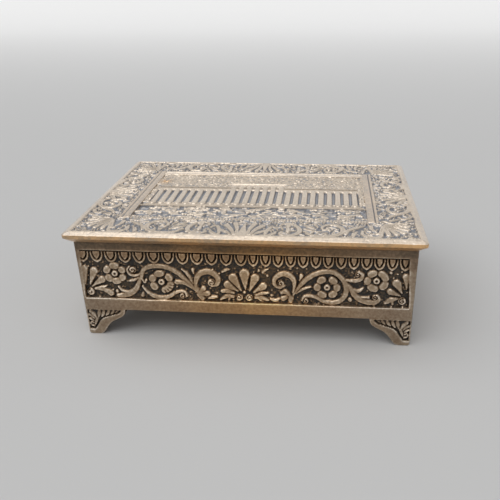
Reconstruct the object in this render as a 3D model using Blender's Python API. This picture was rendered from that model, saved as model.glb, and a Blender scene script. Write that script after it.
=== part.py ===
"""Cast brass trinket box on bracket feet, with a hinged lid and a thin wood lining.

Metres, +Z up. The origin lies on the surface that the box stands on, under the middle of the lid.
The front faces -Y. The hinge is at the back, towards +Y, and the lid opens upwards about it.
"""

import math

import bmesh
import bpy
from mathutils import Matrix, Vector

# Fits
CLEARANCE = 0.0003  # between pieces that seat on each other
RUNNING_CLEARANCE = 0.00008  # radial, between the hinge pin and its knuckles
CUT_MARGIN = 0.002  # how far a cutter stands out of the metal that it cuts

# Lid plate, measured over its outermost line, the nose
LID_LENGTH = 0.130
LID_DEPTH = 0.090
LID_THICKNESS = 0.0047
LID_NOSE_DROP = 0.00125  # from the top face down to the nose
LID_NOSE_HEIGHT = 0.00115  # the nose's upright face
LID_TOP_BEVEL = 0.0020  # from the nose in to the top face
LID_SIDE_UNDERCUT = 0.0023  # from the nose in to the underside
LID_FRONT_UNDERCUT = 0.0029
LID_BACK_UNDERCUT = 0.0008  # small, so that this edge stops the open lid on the back wall
LID_CORNER_RADIUS = 0.0014
LID_LIP = 0.0090  # flat rim round the hollow underside, from the nose inwards
LID_HOLLOW = 0.0021  # depth of the hollow underside
CORNER_STEPS = 6

# Carved fields on the lid's top face
LID_MARGIN = 0.0006  # plain line between the bevel and the border field
LID_BORDER_SINK = 0.0009  # depth of the border field
FRAME_LENGTH = 0.0982  # picture frame, outside
FRAME_DEPTH = 0.0564
FRAME_SIDE_BAR = 0.0040
FRAME_BACK_BAR = 0.0040
FRAME_FRONT_BAR = 0.0016
PICTURE_SINK = 0.0012  # depth of the picture field
SKY_SINK = 0.0005  # depth of the sky behind the columns

# Walls
SIDE_OVERHANG = 0.0025  # lid nose beyond a side wall
FRONT_OVERHANG = 0.0038  # lid nose beyond the front and back walls
WALL = 0.0034
WALL_HEIGHT = 0.0288  # from the lower edge of the wall to the rim
TOP_BAND = 0.0032  # plain band above the carved field
BOTTOM_BAND = 0.0047  # plain band below it
END_BORDER = 0.0022  # plain strip at each end of it
FIELD_SINK = 0.0012  # depth of the carved field

# Bracket feet, cast in one with the walls
FOOT_HEIGHT = 0.0113
FOOT_SPREAD = 0.0158  # width where the foot meets the wall
FOOT_TOE = 0.0042  # width of the flat that stands on the table
FOOT_CURVE_BORDER = 0.0027  # plain edge along the curve
FOOT_END_BORDER = 0.0010  # plain edge along the corner
FOOT_TOP_BORDER = 0.0007  # between the wall's lower edge line and the leaf field
FOOT_SINK = 0.0007  # depth of the leaf field
CURVE_STEPS = 8

# Floor and the ledge that carries it
LEDGE_LIFT = 0.0005  # ledge above the lower edge of the wall
LEDGE_WIDTH = 0.0020
LEDGE_HEIGHT = 0.0015
FLOOR_THICKNESS = 0.0015

# Brazed gussets in the corners behind the feet
GUSSET_LEG = 0.0045
GUSSET_HEIGHT = 0.0070
GUSSET_STEPS = 6

# Lining boards
LINER_THICKNESS = 0.0020
LINER_DROP = 0.0005  # board edge below the rim
LID_LINER_THICKNESS = 0.0015
LINER_EDGE = 0.0003  # rubbed-down edges

# Hinge: tube knuckles brazed by turns to the wall and to the lid
KNUCKLE_COUNT = 5
KNUCKLE_LENGTH = 0.0118
KNUCKLE_RADIUS = 0.0015
PIN_RADIUS = 0.00075
PIN_HEAD_RADIUS = 0.0011
PIN_HEAD_LENGTH = 0.0006
HINGE_SETBACK = 0.0006  # hinge axis behind the outer face of the back wall
ROUND_STEPS = 32

# Carving, in its main forms. Each form is a stroke that stands on its field and draws in towards its top
RELIEF_RECESS = 0.00015  # highest strokes below the plain metal round the field
RELIEF_STEP = 0.00008  # between the tops of strokes that cross
RELIEF_ROOT = 0.0003  # how far a stroke goes into its ground
# From here on the carving is drawn in units of about 1 mm, and the drawing is stretched onto its field
DRAFT = 0.3  # a stroke's side, seen from above
LONG_DRAWING = (60.3, 20.9)  # half length and height of a long wall's drawing
SHORT_DRAWING = (39.0, 20.9)  # a short wall has the middle of the pattern alone
TONGUE_PITCH = 5.0
TONGUE_HALF = 1.8
TONGUE_DROP = 4.7
PALMETTE_ROOT = (0.0, 4.2)
# Petals are given as (angle in degrees, reach from their root, half width)
PALMETTE_PETALS = ((90, 10.2, 1.6), (62, 9.0, 1.5), (35, 8.0, 1.3), (5, 8.8, 1.0))
PALMETTE_START = 2.6  # from its root to the foot of each petal
PALMETTE_CURL = (1.9, 2.4)
CURL_RADIUS = 1.45
STEM_HALF = 1.0
RING_CENTRE = (30.7, 7.9)
RING_RADIUS = 6.6
RING_START, RING_END = 158, -128  # degrees, clockwise from the stem's foot to its curled end
RING_FOOT = (19.6, 4.6)
RING_CURL = (22.6, 2.6)
VOLUTE_CENTRE = (14.4, 9.2)
VOLUTE_RADIUS = 4.0
VOLUTE_START, VOLUTE_END = -12, 260
VOLUTE_FOOT = (17.8, 4.8)
VOLUTE_TIP = 2.6  # radius where it has wound in
FLOWER_CIRCLE = 3.4
FLOWER_PETALS = 6
FLOWER_PETAL = 1.15
FLOWER_BOSS = 1.35
END_FLOWER_CENTRE = (48.6, 11.1)
END_STEM = ((37.9, 9.2), (40.2, 5.6), (43.0, 3.3), (46.4, 2.3), (49.6, 2.6))
BUD_STEM_HALF = 0.8
BUD_STEM = ((36.8, 11.4), (41.2, 10.8), (43.0, 12.1), (42.2, 13.9))
CORNER_ROOT = (58.0, 3.2)
CORNER_PETALS = ((86, 10.0, 1.1), (112, 8.6, 1.35), (147, 6.4, 1.15))
CORNER_START = 2.4
RING_STEPS = 10
SCROLL_STEPS = 7  # also of a volute

# Drawing of the lid's border, from the middle of the lid
BORDER_DRAWING = (62.4, 42.4)  # half length and half depth of the border's outer edge
FRAME_DRAWING = (49.1, 28.2)  # the same of its inner edge
BORDER_PALMETTE = ((90, 11.0, 1.3), (66, 10.4, 1.2), (43, 9.4, 1.1), (20, 8.0, 1.0))
FAN_START = 2.6  # from the root of a fan or palmette to the foot of each leaf
FAN_LEAVES = 5
FAN_SPREAD = 84  # degrees from the first leaf to the last
FAN_REACH = 11.4
FAN_HALF = 1.25
SCROLL_HALF = 0.9
LONG_SCROLLS = ((16.6, 5.6, 3.9), (30.9, 6.2, 4.7), (44.0, 4.6, 3.0))  # along, in from the edge, radius
SHORT_SCROLLS = ((13.4, 5.8, 4.3), (22.6, 4.2, 2.6))
SCROLL_START, SCROLL_TURN = 200, -320
SCROLL_TIP = 0.5  # inner radius of a scroll as a part of its outer one

# Drawing of the lid's picture: a hall with a row of columns, from the middle of the picture's lower edge
PICTURE_DRAWING = (45.1, 50.8)  # half length and depth
COLUMN_PITCH = 3.42
COLUMN_HALF = 1.1
HALL_COLUMNS = 7
WING_COLUMNS = 9
COLUMN_FOOT = 15.2
WING_TOP = 31.2
HALL_TOP = 36.0
BEAM = 3.2
GABLE_RISE = 5.6
STAIR = 3.6

# Places that follow from the sizes above
BODY_LENGTH = LID_LENGTH - 2 * SIDE_OVERHANG
BODY_DEPTH = LID_DEPTH - 2 * FRONT_OVERHANG
INNER_LENGTH = BODY_LENGTH - 2 * WALL
INNER_DEPTH = BODY_DEPTH - 2 * WALL
RIM_HEIGHT = FOOT_HEIGHT + WALL_HEIGHT
LID_UNDERSIDE = RIM_HEIGHT + CLEARANCE
LID_TOP = LID_UNDERSIDE + LID_THICKNESS
LEDGE_BOTTOM = FOOT_HEIGHT + LEDGE_LIFT
LEDGE_TOP = LEDGE_BOTTOM + LEDGE_HEIGHT
FLOOR_BOTTOM = LEDGE_TOP + CLEARANCE
FLOOR_TOP = FLOOR_BOTTOM + FLOOR_THICKNESS
BOARD_BOTTOM = FLOOR_TOP + CLEARANCE
BOARD_TOP = BOARD_BOTTOM + LINER_THICKNESS
WALL_BOARD_TOP = RIM_HEIGHT - LINER_DROP
KNUCKLE_PITCH = KNUCKLE_LENGTH + CLEARANCE
HINGE_LENGTH = KNUCKLE_COUNT * KNUCKLE_LENGTH + (KNUCKLE_COUNT - 1) * CLEARANCE
HINGE_AXIS = Vector((0, BODY_DEPTH / 2 + HINGE_SETBACK, RIM_HEIGHT + CLEARANCE / 2))


def clear_scene():
    for obj in list(bpy.data.objects):
        bpy.data.objects.remove(obj, do_unlink=True)


def finish(name, colour, roughness, metallic):
    """A material with one Principled BSDF."""
    material = bpy.data.materials.new(name)
    material.use_nodes = True
    shader = material.node_tree.nodes["Principled BSDF"]
    shader.inputs["Base Color"].default_value = (*colour, 1)
    shader.inputs["Roughness"].default_value = roughness
    shader.inputs["Metallic"].default_value = metallic
    material.diffuse_color = (*colour, 1)
    return material


def add_object(name, bm, material=None, parent=None, location=(0, 0, 0), turn=0.0):
    """Links the bmesh as an object, turned about Z by turn radians. Its faces point outwards."""
    bmesh.ops.recalc_face_normals(bm, faces=bm.faces)
    mesh = bpy.data.meshes.new(name)
    bm.to_mesh(mesh)
    bm.free()
    if material:
        mesh.materials.append(material)
    obj = bpy.data.objects.new(name, mesh)
    bpy.context.collection.objects.link(obj)
    obj.parent = parent
    obj.location = location
    obj.rotation_euler.z = turn
    return obj


def boolean(target, bm, operation, name):
    """Adds or cuts a shape that is given in the target's own frame."""
    helper = add_object(name, bm, parent=target)
    helper.hide_render = True
    helper.display_type = "WIRE"
    modifier = target.modifiers.new(name, "BOOLEAN")
    modifier.operation = operation
    modifier.object = helper


def soften(obj, width):
    """Rubs the edges down by the width."""
    modifier = obj.modifiers.new("edges", "BEVEL")
    modifier.width = width
    modifier.segments = 1
    modifier.limit_method = "ANGLE"


def box(low, high):
    """A closed box between two corners."""
    bm = bmesh.new()
    low, high = Vector(low), Vector(high)
    place = Matrix.Translation((low + high) / 2) @ Matrix.Diagonal((*(high - low), 1))
    bmesh.ops.create_cube(bm, size=1, matrix=place)
    return bm


def prism(outline, start, along):
    """A flat outline of 3-D points, moved to start and extruded along a vector."""
    bm = bmesh.new()
    face = bm.faces.new([bm.verts.new(Vector(p) + Vector(start)) for p in outline])
    swept = bmesh.ops.extrude_face_region(bm, geom=[face])["geom"]
    verts = [v for v in swept if isinstance(v, bmesh.types.BMVert)]
    bmesh.ops.translate(bm, verts=verts, vec=along)
    return bm


def loft(rings, closed=False, bm=None):
    """A skin over rings of equal length. The ends are capped, or the last ring meets the first if closed."""
    bm = bm or bmesh.new()
    loops = [[bm.verts.new(p) for p in ring] for ring in rings]
    pairs = list(zip(loops, loops[1:] + loops[:1] if closed else loops[1:]))
    for lower, upper in pairs:
        for i in range(len(lower)):
            j = (i + 1) % len(lower)
            bm.faces.new((lower[i], lower[j], upper[j], upper[i]))
    if not closed:
        bm.faces.new(loops[0])
        bm.faces.new(loops[-1])
    return bm


def turned(profile):
    """A round piece about the X axis from (x, radius) points, which close on themselves for a tube."""
    rings = []
    for x, radius in profile:
        angles = [2 * math.pi * i / ROUND_STEPS for i in range(ROUND_STEPS)]
        rings.append([(x, radius * math.cos(a), radius * math.sin(a)) for a in angles])
    return rings


def bezier(p0, p1, p2, p3, steps):
    """Points along a cubic curve, both ends included."""
    points = []
    for i in range(steps + 1):
        t = i / steps
        weights = ((1 - t) ** 3, 3 * t * (1 - t) ** 2, 3 * t * t * (1 - t), t**3)
        points.append(tuple(sum(w * p[k] for w, p in zip(weights, (p0, p1, p2, p3))) for k in (0, 1)))
    return points


def arc(centre, radius, start, end, steps, end_radius=None):
    """Points from one angle to another, in degrees, on an arc or on a spiral that ends at another radius."""
    last = radius if end_radius is None else end_radius
    points = []
    for i in range(steps + 1):
        angle = math.radians(start + (end - start) * i / steps)
        reach = radius + (last - radius) * i / steps
        points.append((centre[0] + reach * math.cos(angle), centre[1] + reach * math.sin(angle)))
    return points


def stroke(path, halves):
    """A form along a drawn path, as rings of (u, v, level): level 0 at its foot and 1 at its narrower top."""
    rings = []
    for i, ((u, v), half) in enumerate(zip(path, halves)):
        before, after = path[max(i - 1, 0)], path[min(i + 1, len(path) - 1)]
        along = Vector((after[0] - before[0], after[1] - before[1])).normalized()
        top = max(half - DRAFT, half / 3)
        section = ((half, 0), (top, 1), (-top, 1), (-half, 0))
        rings.append([(u - along.y * w, v + along.x * w, level) for w, level in section])
    return rings


def stem(path, half):
    """A stroke of even width with narrower ends."""
    return stroke(path, [0.6 * half] + [half] * (len(path) - 2) + [0.6 * half])


def boss(centre, radius):
    """A round form of six sides."""
    path = [(centre[0] + reach, centre[1]) for reach in (-0.87 * radius, 0, 0.87 * radius)]
    return stroke(path, [radius / 2, radius, radius / 2])


def petal(root, start, leaf):
    """A form on a ray from its root, which widens to a round tip. Leaf is (angle, reach, half width)."""
    angle, reach, half = leaf
    ray = (math.cos(math.radians(angle)), math.sin(math.radians(angle)))
    path = [(root[0] + r * ray[0], root[1] + r * ray[1]) for r in (start, reach - 0.7 * half, reach)]
    return stroke(path, [0.3 * half, half, 0.5 * half])


def flower(centre):
    """A boss and its ring of petals."""
    circle = arc(centre, FLOWER_CIRCLE, 30, 390, FLOWER_PETALS)[:-1]
    return [boss(centre, FLOWER_BOSS)] + [boss(place, FLOWER_PETAL) for place in circle]


def mapped(forms, place):
    """The forms with each drawn (u, v) put at another place on the drawing."""
    return [[[(*place(u, v), level) for u, v, level in ring] for ring in form] for form in forms]


def mirrored(forms):
    """The forms and their mirror images across u = 0."""
    return forms + mapped(forms, lambda u, v: (-u, v))


def carve(target, forms, place, name):
    """Stands drawn forms on the target. Place turns a drawn (u, v, level) into a point of the target."""
    bm = bmesh.new()
    for form in forms:
        loft([[place(*point) for point in ring] for ring in form], bm=bm)
    boolean(target, bm, "UNION", name)


def bracket_curve():
    """Inner edge of a foot as (distance from the corner, height), from the toe up to the wall: an S-shape."""
    run = FOOT_SPREAD - FOOT_TOE
    toe = (FOOT_TOE, 0)
    middle = (FOOT_TOE + 0.46 * run, 0.46 * FOOT_HEIGHT)
    lean = (0.22 * run, 0.20 * FOOT_HEIGHT)
    below = (middle[0] - lean[0], middle[1] - lean[1])
    above = (middle[0] + lean[0], middle[1] + lean[1])
    lower = bezier(toe, (FOOT_TOE + 0.22 * run, 0), below, middle, CURVE_STEPS)
    upper = bezier(middle, above, (FOOT_SPREAD, 0.66 * FOOT_HEIGHT), (FOOT_SPREAD, FOOT_HEIGHT), CURVE_STEPS)
    return lower + upper[1:]


def wall_outline(length):
    """A wall seen from outside with its two bracket feet, as points in its own XZ plane."""
    half = length / 2
    curve = bracket_curve()
    left = [(-half + s, 0, z) for s, z in curve]
    right = [(half - s, 0, z) for s, z in reversed(curve)]
    ends = [(half, 0, 0), (half, 0, RIM_HEIGHT), (-half, 0, RIM_HEIGHT), (-half, 0, 0)]
    return left + right + ends


def leaf_field(length, side):
    """Outline of the sunk field on one foot, in the wall's XZ plane. Side is -1 at the left, 1 at the right."""
    top = FOOT_HEIGHT - FOOT_TOP_BORDER
    curve = [(s - FOOT_CURVE_BORDER, z) for s, z in bracket_curve()]
    kept = [(s, z) for s, z in curve if s > FOOT_END_BORDER + CLEARANCE and z < top - CLEARANCE]
    points = [(FOOT_END_BORDER, kept[0][1]), *kept, (kept[-1][0] + CLEARANCE, top), (FOOT_END_BORDER, top)]
    return [(side * (length / 2 - s), 0, z) for s, z in points]


def mitre_wedge(length, side):
    """What is cut from one end of a wall, so that it meets its neighbour at 45 degrees with clearance."""
    end = length / 2 - CLEARANCE / math.sqrt(2)
    reach = WALL + LEDGE_WIDTH + CUT_MARGIN
    corner = [
        (end + CUT_MARGIN, -CUT_MARGIN),
        (end - reach, reach),
        (end + CUT_MARGIN + reach, reach),
        (end + CUT_MARGIN + reach, -CUT_MARGIN),
    ]
    outline = [(side * x, y, 0) for x, y in corner]
    return prism(outline, (0, 0, -CUT_MARGIN), (0, 0, RIM_HEIGHT + 2 * CUT_MARGIN))


def tongues(half, height):
    """The row of tongues that hangs from the top of a wall's drawing."""
    count = round(2 * half / TONGUE_PITCH)
    pitch = 2 * half / count
    forms = []
    for i in range(count):
        u = (i + 0.5) * pitch - half
        path = [(u, height + DRAFT), (u, height - 0.6 * TONGUE_DROP), (u, height - TONGUE_DROP)]
        forms.append(stroke(path, [TONGUE_HALF, TONGUE_HALF, TONGUE_HALF / 3]))
    return forms


def wall_leaves(long):
    """Palmettes, flowers and curls of a wall's drawing, with those beyond the rings on a long wall."""
    upright, *slanted = PALMETTE_PETALS
    forms = [petal(PALMETTE_ROOT, PALMETTE_START, leaf) for leaf in slanted]
    forms += [boss(PALMETTE_CURL, CURL_RADIUS), *flower(RING_CENTRE)]
    if long:
        forms += [petal(CORNER_ROOT, CORNER_START, leaf) for leaf in CORNER_PETALS]
        forms += [boss(CORNER_ROOT, CURL_RADIUS), *flower(END_FLOWER_CENTRE)]
    return [petal(PALMETTE_ROOT, PALMETTE_START, upright)] + mirrored(forms)


def ring_stems():
    """The stems that run round the inner flowers, each with a curled end."""
    bend = arc(RING_CENTRE, RING_RADIUS, RING_START, RING_END, RING_STEPS)
    return mirrored([stem([RING_FOOT, *bend, RING_CURL], STEM_HALF)])


def side_stems(long):
    """The volutes beside the palmette, and the stems beyond the rings on a long wall."""
    winding = arc(VOLUTE_CENTRE, VOLUTE_RADIUS, VOLUTE_START, VOLUTE_END, SCROLL_STEPS, VOLUTE_TIP)
    forms = [stem([VOLUTE_FOOT, *winding], STEM_HALF)]
    if long:
        forms += [stem(END_STEM, STEM_HALF), stem(BUD_STEM, BUD_STEM_HALF)]
    return mirrored(forms)


def carve_wall(wall, half, drawing):
    """Stands the carving on a wall's field, stretched from its drawing."""
    long = drawing == LONG_DRAWING
    low = FOOT_HEIGHT + BOTTOM_BAND
    stretch_x = (half - END_BORDER) / drawing[0]
    stretch_z = (RIM_HEIGHT - TOP_BAND - low) / drawing[1]
    foot = FIELD_SINK + RELIEF_ROOT
    groups = (tongues(*drawing), wall_leaves(long), ring_stems(), side_stems(long))
    for index, forms in enumerate(groups):
        rise = foot - RELIEF_RECESS - index * RELIEF_STEP
        flat = mapped(forms, lambda u, v: (u * stretch_x, low + v * stretch_z))
        name = f"{wall.name}_carving_{index + 1}"
        carve(wall, flat, lambda x, z, level: (x, foot - level * rise, z), name)


def make_wall(name, length, material, location, turn, drawing):
    """One cast wall in its own frame: outer face on y = 0, facing -Y, with a ledge inside and mitred ends."""
    half = length / 2
    slab = prism(wall_outline(length), (0, 0, 0), (0, WALL, 0))
    wall = add_object(name, slab, material, None, location, turn)
    ledge = box((-half, WALL / 2, LEDGE_BOTTOM), (half, WALL + LEDGE_WIDTH, LEDGE_TOP))
    boolean(wall, ledge, "UNION", name + "_ledge")
    field_low = (-half + END_BORDER, -CUT_MARGIN, FOOT_HEIGHT + BOTTOM_BAND)
    field_high = (half - END_BORDER, FIELD_SINK, RIM_HEIGHT - TOP_BAND)
    boolean(wall, box(field_low, field_high), "DIFFERENCE", name + "_field")
    carve_wall(wall, half, drawing)
    for side, end in ((-1, "_left"), (1, "_right")):
        leaf = prism(leaf_field(length, side), (0, -CUT_MARGIN, 0), (0, CUT_MARGIN + FOOT_SINK, 0))
        boolean(wall, leaf, "DIFFERENCE", name + end + "_leaf_field")
        boolean(wall, mitre_wedge(length, side), "DIFFERENCE", name + end + "_mitre")
    return wall


def hinge_groove():
    """The round channel that the knuckles and pin heads lie in, about the X axis."""
    half = HINGE_LENGTH / 2 + PIN_HEAD_LENGTH + 2 * CLEARANCE
    radius = KNUCKLE_RADIUS + CLEARANCE
    return loft(turned([(-half, radius), (half, radius)]))


def make_walls(material):
    """Four walls, each turned to face out of the box. The back wall takes half of the hinge groove."""
    make_wall("front_panel", BODY_LENGTH, material, (0, -BODY_DEPTH / 2, 0), 0, LONG_DRAWING)
    make_wall("right_panel", BODY_DEPTH, material, (BODY_LENGTH / 2, 0, 0), math.pi / 2, SHORT_DRAWING)
    make_wall("left_panel", BODY_DEPTH, material, (-BODY_LENGTH / 2, 0, 0), -math.pi / 2, SHORT_DRAWING)
    back = make_wall("back_panel", BODY_LENGTH, material, (0, BODY_DEPTH / 2, 0), math.pi, LONG_DRAWING)
    groove = hinge_groove()
    bmesh.ops.translate(groove, verts=groove.verts, vec=(0, -HINGE_SETBACK, HINGE_AXIS.z))
    boolean(back, groove, "DIFFERENCE", "back_panel_hinge_groove")


def make_floor(material):
    """The floor plate, which lies on the ledges inside the walls."""
    half = Vector((INNER_LENGTH / 2 - CLEARANCE, INNER_DEPTH / 2 - CLEARANCE))
    add_object("floor_plate", box((-half.x, -half.y, FLOOR_BOTTOM), (half.x, half.y, FLOOR_TOP)), material)


def make_gussets(material):
    """Brazed gussets that tie two walls behind each foot, just under the ledges."""
    leg = GUSSET_LEG
    bow = 0.3 * leg
    curve = bezier((leg, 0), (bow, bow), (bow, bow), (0, leg), GUSSET_STEPS)
    top = LEDGE_BOTTOM - CLEARANCE
    for y_side, depth_word in ((-1, "front"), (1, "back")):
        for x_side, width_word in ((-1, "left"), (1, "right")):
            corner_x = x_side * (INNER_LENGTH / 2 - CLEARANCE)
            corner_y = y_side * (INNER_DEPTH / 2 - CLEARANCE)
            outline = [(corner_x, corner_y, 0)]
            outline += [(corner_x - x_side * a, corner_y - y_side * b, 0) for a, b in curve]
            gusset = prism(outline, (0, 0, top - GUSSET_HEIGHT), (0, 0, GUSSET_HEIGHT))
            add_object(f"foot_gusset_{depth_word}_{width_word}", gusset, material)


def make_lining(material):
    """Thin boards inside the box: a floor board, long boards front and back, and short boards between them."""
    long_half = INNER_LENGTH / 2 - CLEARANCE
    deep_half = INNER_DEPTH / 2 - CLEARANCE
    short_half = deep_half - LINER_THICKNESS - CLEARANCE
    low, high = BOARD_TOP + CLEARANCE, WALL_BOARD_TOP
    boards = {
        "liner_floor": ((-long_half, -deep_half, BOARD_BOTTOM), (long_half, deep_half, BOARD_TOP)),
        "liner_front": ((-long_half, -deep_half, low), (long_half, -deep_half + LINER_THICKNESS, high)),
        "liner_back": ((-long_half, deep_half - LINER_THICKNESS, low), (long_half, deep_half, high)),
        "liner_left": ((-long_half, -short_half, low), (-long_half + LINER_THICKNESS, short_half, high)),
        "liner_right": ((long_half - LINER_THICKNESS, -short_half, low), (long_half, short_half, high)),
    }
    for name, corners in boards.items():
        soften(add_object(name, box(*corners), material), LINER_EDGE)


def lid_outline(z, side=0.0, front=0.0, back=0.0):
    """The lid's plan outline at one height, drawn in from the nose at the sides, the front and the back."""
    half_x = LID_LENGTH / 2 - side
    low_y, high_y = -LID_DEPTH / 2 + front, LID_DEPTH / 2 - back
    radius = max(LID_CORNER_RADIUS - side / 2, CLEARANCE)
    corners = (
        (half_x - radius, high_y - radius),
        (radius - half_x, high_y - radius),
        (radius - half_x, low_y + radius),
        (half_x - radius, low_y + radius),
    )
    points = []
    for quarter, (x, y) in enumerate(corners):
        for step in range(CORNER_STEPS + 1):
            angle = math.pi / 2 * (quarter + step / CORNER_STEPS)
            points.append((x + radius * math.cos(angle), y + radius * math.sin(angle), z))
    return points


def rectangle(half_x, low_y, high_y, z):
    return [(-half_x, low_y, z), (half_x, low_y, z), (half_x, high_y, z), (-half_x, high_y, z)]


def border_field():
    """Sunk ring between the lid's plain margin and the picture frame."""
    half_x = LID_LENGTH / 2 - LID_TOP_BEVEL - LID_MARGIN
    half_y = LID_DEPTH / 2 - LID_TOP_BEVEL - LID_MARGIN
    low, high = LID_TOP - LID_BORDER_SINK, LID_TOP + CUT_MARGIN
    inner_x, inner_y = FRAME_LENGTH / 2, FRAME_DEPTH / 2
    section = (
        (half_x, half_y, low),
        (half_x, half_y, high),
        (inner_x, inner_y, high),
        (inner_x, inner_y, low),
    )
    return loft([rectangle(x, -y, y, z) for x, y, z in section], closed=True)


def picture_field():
    half_x = FRAME_LENGTH / 2 - FRAME_SIDE_BAR
    low = (-half_x, -FRAME_DEPTH / 2 + FRAME_FRONT_BAR, LID_TOP - PICTURE_SINK)
    high = (half_x, FRAME_DEPTH / 2 - FRAME_BACK_BAR, LID_TOP + CUT_MARGIN)
    return box(low, high)


def strip_scrolls(places):
    """Scrolls of half a border strip, from (along, in from the edge, radius)."""
    forms = []
    for along, inward, radius in places:
        end = SCROLL_START + SCROLL_TURN
        path = arc((along, inward), radius, SCROLL_START, end, SCROLL_STEPS, SCROLL_TIP * radius)
        forms.append(stem(path, SCROLL_HALF))
    return mirrored(forms)


def round_the_lid(long_forms, short_forms):
    """Strip forms, drawn as (along, in from the edge), set along the four edges of the border."""
    half_x, half_y = BORDER_DRAWING
    placed = []
    for side in (-1, 1):
        placed += mapped(long_forms, lambda u, v: (u, side * (half_y - v)))
        placed += mapped(short_forms, lambda u, v: (side * (half_x - v), u))
    return placed


def corner_fans():
    """A fan of leaves that opens from each corner of the frame."""
    root = (FRAME_DRAWING[0] + FAN_HALF, FRAME_DRAWING[1] + FAN_HALF)
    angles = [45 + FAN_SPREAD * (i / (FAN_LEAVES - 1) - 0.5) for i in range(FAN_LEAVES)]
    fans = mirrored([petal(root, FAN_START, (angle, FAN_REACH, FAN_HALF)) for angle in angles])
    return fans + mapped(fans, lambda u, v: (u, -v))


def border_leaves():
    """The palmette in the middle of each border strip, and the corner fans."""
    upright, *slanted = [petal((0, 0), FAN_START, leaf) for leaf in BORDER_PALMETTE]
    palmette = [upright] + mirrored(slanted)
    return round_the_lid(palmette, palmette) + corner_fans()


def stretch(value, drawn_inner, drawn_outer, inner, outer):
    """Maps a drawn distance from the lid's middle, so that the frame and the border's edge keep their place."""
    past = abs(value) - drawn_inner
    if past < 0:
        return value * inner / drawn_inner
    return math.copysign(inner + past * (outer - inner) / (drawn_outer - drawn_inner), value)


def carve_border(lid):
    """Stands the leaves and scrolls on the lid's border field."""
    outer_x = LID_LENGTH / 2 - LID_TOP_BEVEL - LID_MARGIN
    outer_y = LID_DEPTH / 2 - LID_TOP_BEVEL - LID_MARGIN
    foot = LID_TOP - LID_BORDER_SINK - RELIEF_ROOT
    scrolls = round_the_lid(strip_scrolls(LONG_SCROLLS), strip_scrolls(SHORT_SCROLLS))
    for index, forms in enumerate((border_leaves(), scrolls)):
        rise = LID_TOP - RELIEF_RECESS - index * RELIEF_STEP - foot
        flat = mapped(forms, lambda u, v: (
            stretch(u, FRAME_DRAWING[0], BORDER_DRAWING[0], FRAME_LENGTH / 2, outer_x),
            stretch(v, FRAME_DRAWING[1], BORDER_DRAWING[1], FRAME_DEPTH / 2, outer_y),
        ))
        name = f"lid_border_carving_{index + 1}"
        carve(lid, flat, lambda x, y, level: (x, y, foot + level * rise), name)


def columns():
    """The row of columns, taller in the middle of the hall."""
    count = HALL_COLUMNS + 2 * WING_COLUMNS
    forms = []
    for i in range(count):
        u = (i - (count - 1) / 2) * COLUMN_PITCH
        top = HALL_TOP if abs(u) < HALL_COLUMNS * COLUMN_PITCH / 2 else WING_TOP
        forms.append(stroke([(u, COLUMN_FOOT - DRAFT), (u, top + BEAM / 2)], [COLUMN_HALF, COLUMN_HALF]))
    return forms


def beams():
    """The beams on the columns, the gable over the hall, and the stair."""
    hall = HALL_COLUMNS * COLUMN_PITCH / 2
    whole = hall + WING_COLUMNS * COLUMN_PITCH
    wing_level, hall_level = WING_TOP + BEAM / 2, HALL_TOP + BEAM / 2
    stair = COLUMN_FOOT - STAIR / 2
    forms = mirrored([stroke([(hall + DRAFT, wing_level), (whole, wing_level)], [BEAM / 2, BEAM / 2])])
    forms.append(stroke([(-hall, hall_level), (hall, hall_level)], [BEAM / 2, BEAM / 2]))
    forms.append(stroke([(-whole, stair), (whole, stair)], [STAIR / 2, STAIR / 2]))
    gable = HALL_TOP + BEAM + DRAFT
    forms.append(stroke([(0, gable), (0, gable + GABLE_RISE)], [hall, COLUMN_HALF]))
    return forms


def carve_picture(lid):
    """Stands the sky, the columns and the beams on the lid's picture field."""
    half_x = FRAME_LENGTH / 2 - FRAME_SIDE_BAR
    low_y, high_y = -FRAME_DEPTH / 2 + FRAME_FRONT_BAR, FRAME_DEPTH / 2 - FRAME_BACK_BAR
    stretch_x, stretch_y = half_x / PICTURE_DRAWING[0], (high_y - low_y) / PICTURE_DRAWING[1]
    foot = LID_TOP - PICTURE_SINK - RELIEF_ROOT
    sky_low = low_y + (WING_TOP + BEAM / 2) * stretch_y
    sky = box(
        (-half_x - RELIEF_ROOT, sky_low, foot),
        (half_x + RELIEF_ROOT, high_y + RELIEF_ROOT, LID_TOP - SKY_SINK),
    )
    boolean(lid, sky, "UNION", "lid_sky")
    for index, forms in enumerate((columns(), beams())):
        rise = LID_TOP - RELIEF_RECESS - index * RELIEF_STEP - foot
        flat = mapped(forms, lambda u, v: (u * stretch_x, low_y + v * stretch_y))
        name = f"lid_picture_carving_{index + 1}"
        carve(lid, flat, lambda x, y, level: (x, y, foot + level * rise), name)


def lid_hollow():
    half_x, half_y = LID_LENGTH / 2 - LID_LIP, LID_DEPTH / 2 - LID_LIP
    return box(
        (-half_x, -half_y, LID_UNDERSIDE - CUT_MARGIN),
        (half_x, half_y, LID_UNDERSIDE + LID_HOLLOW),
    )


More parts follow.
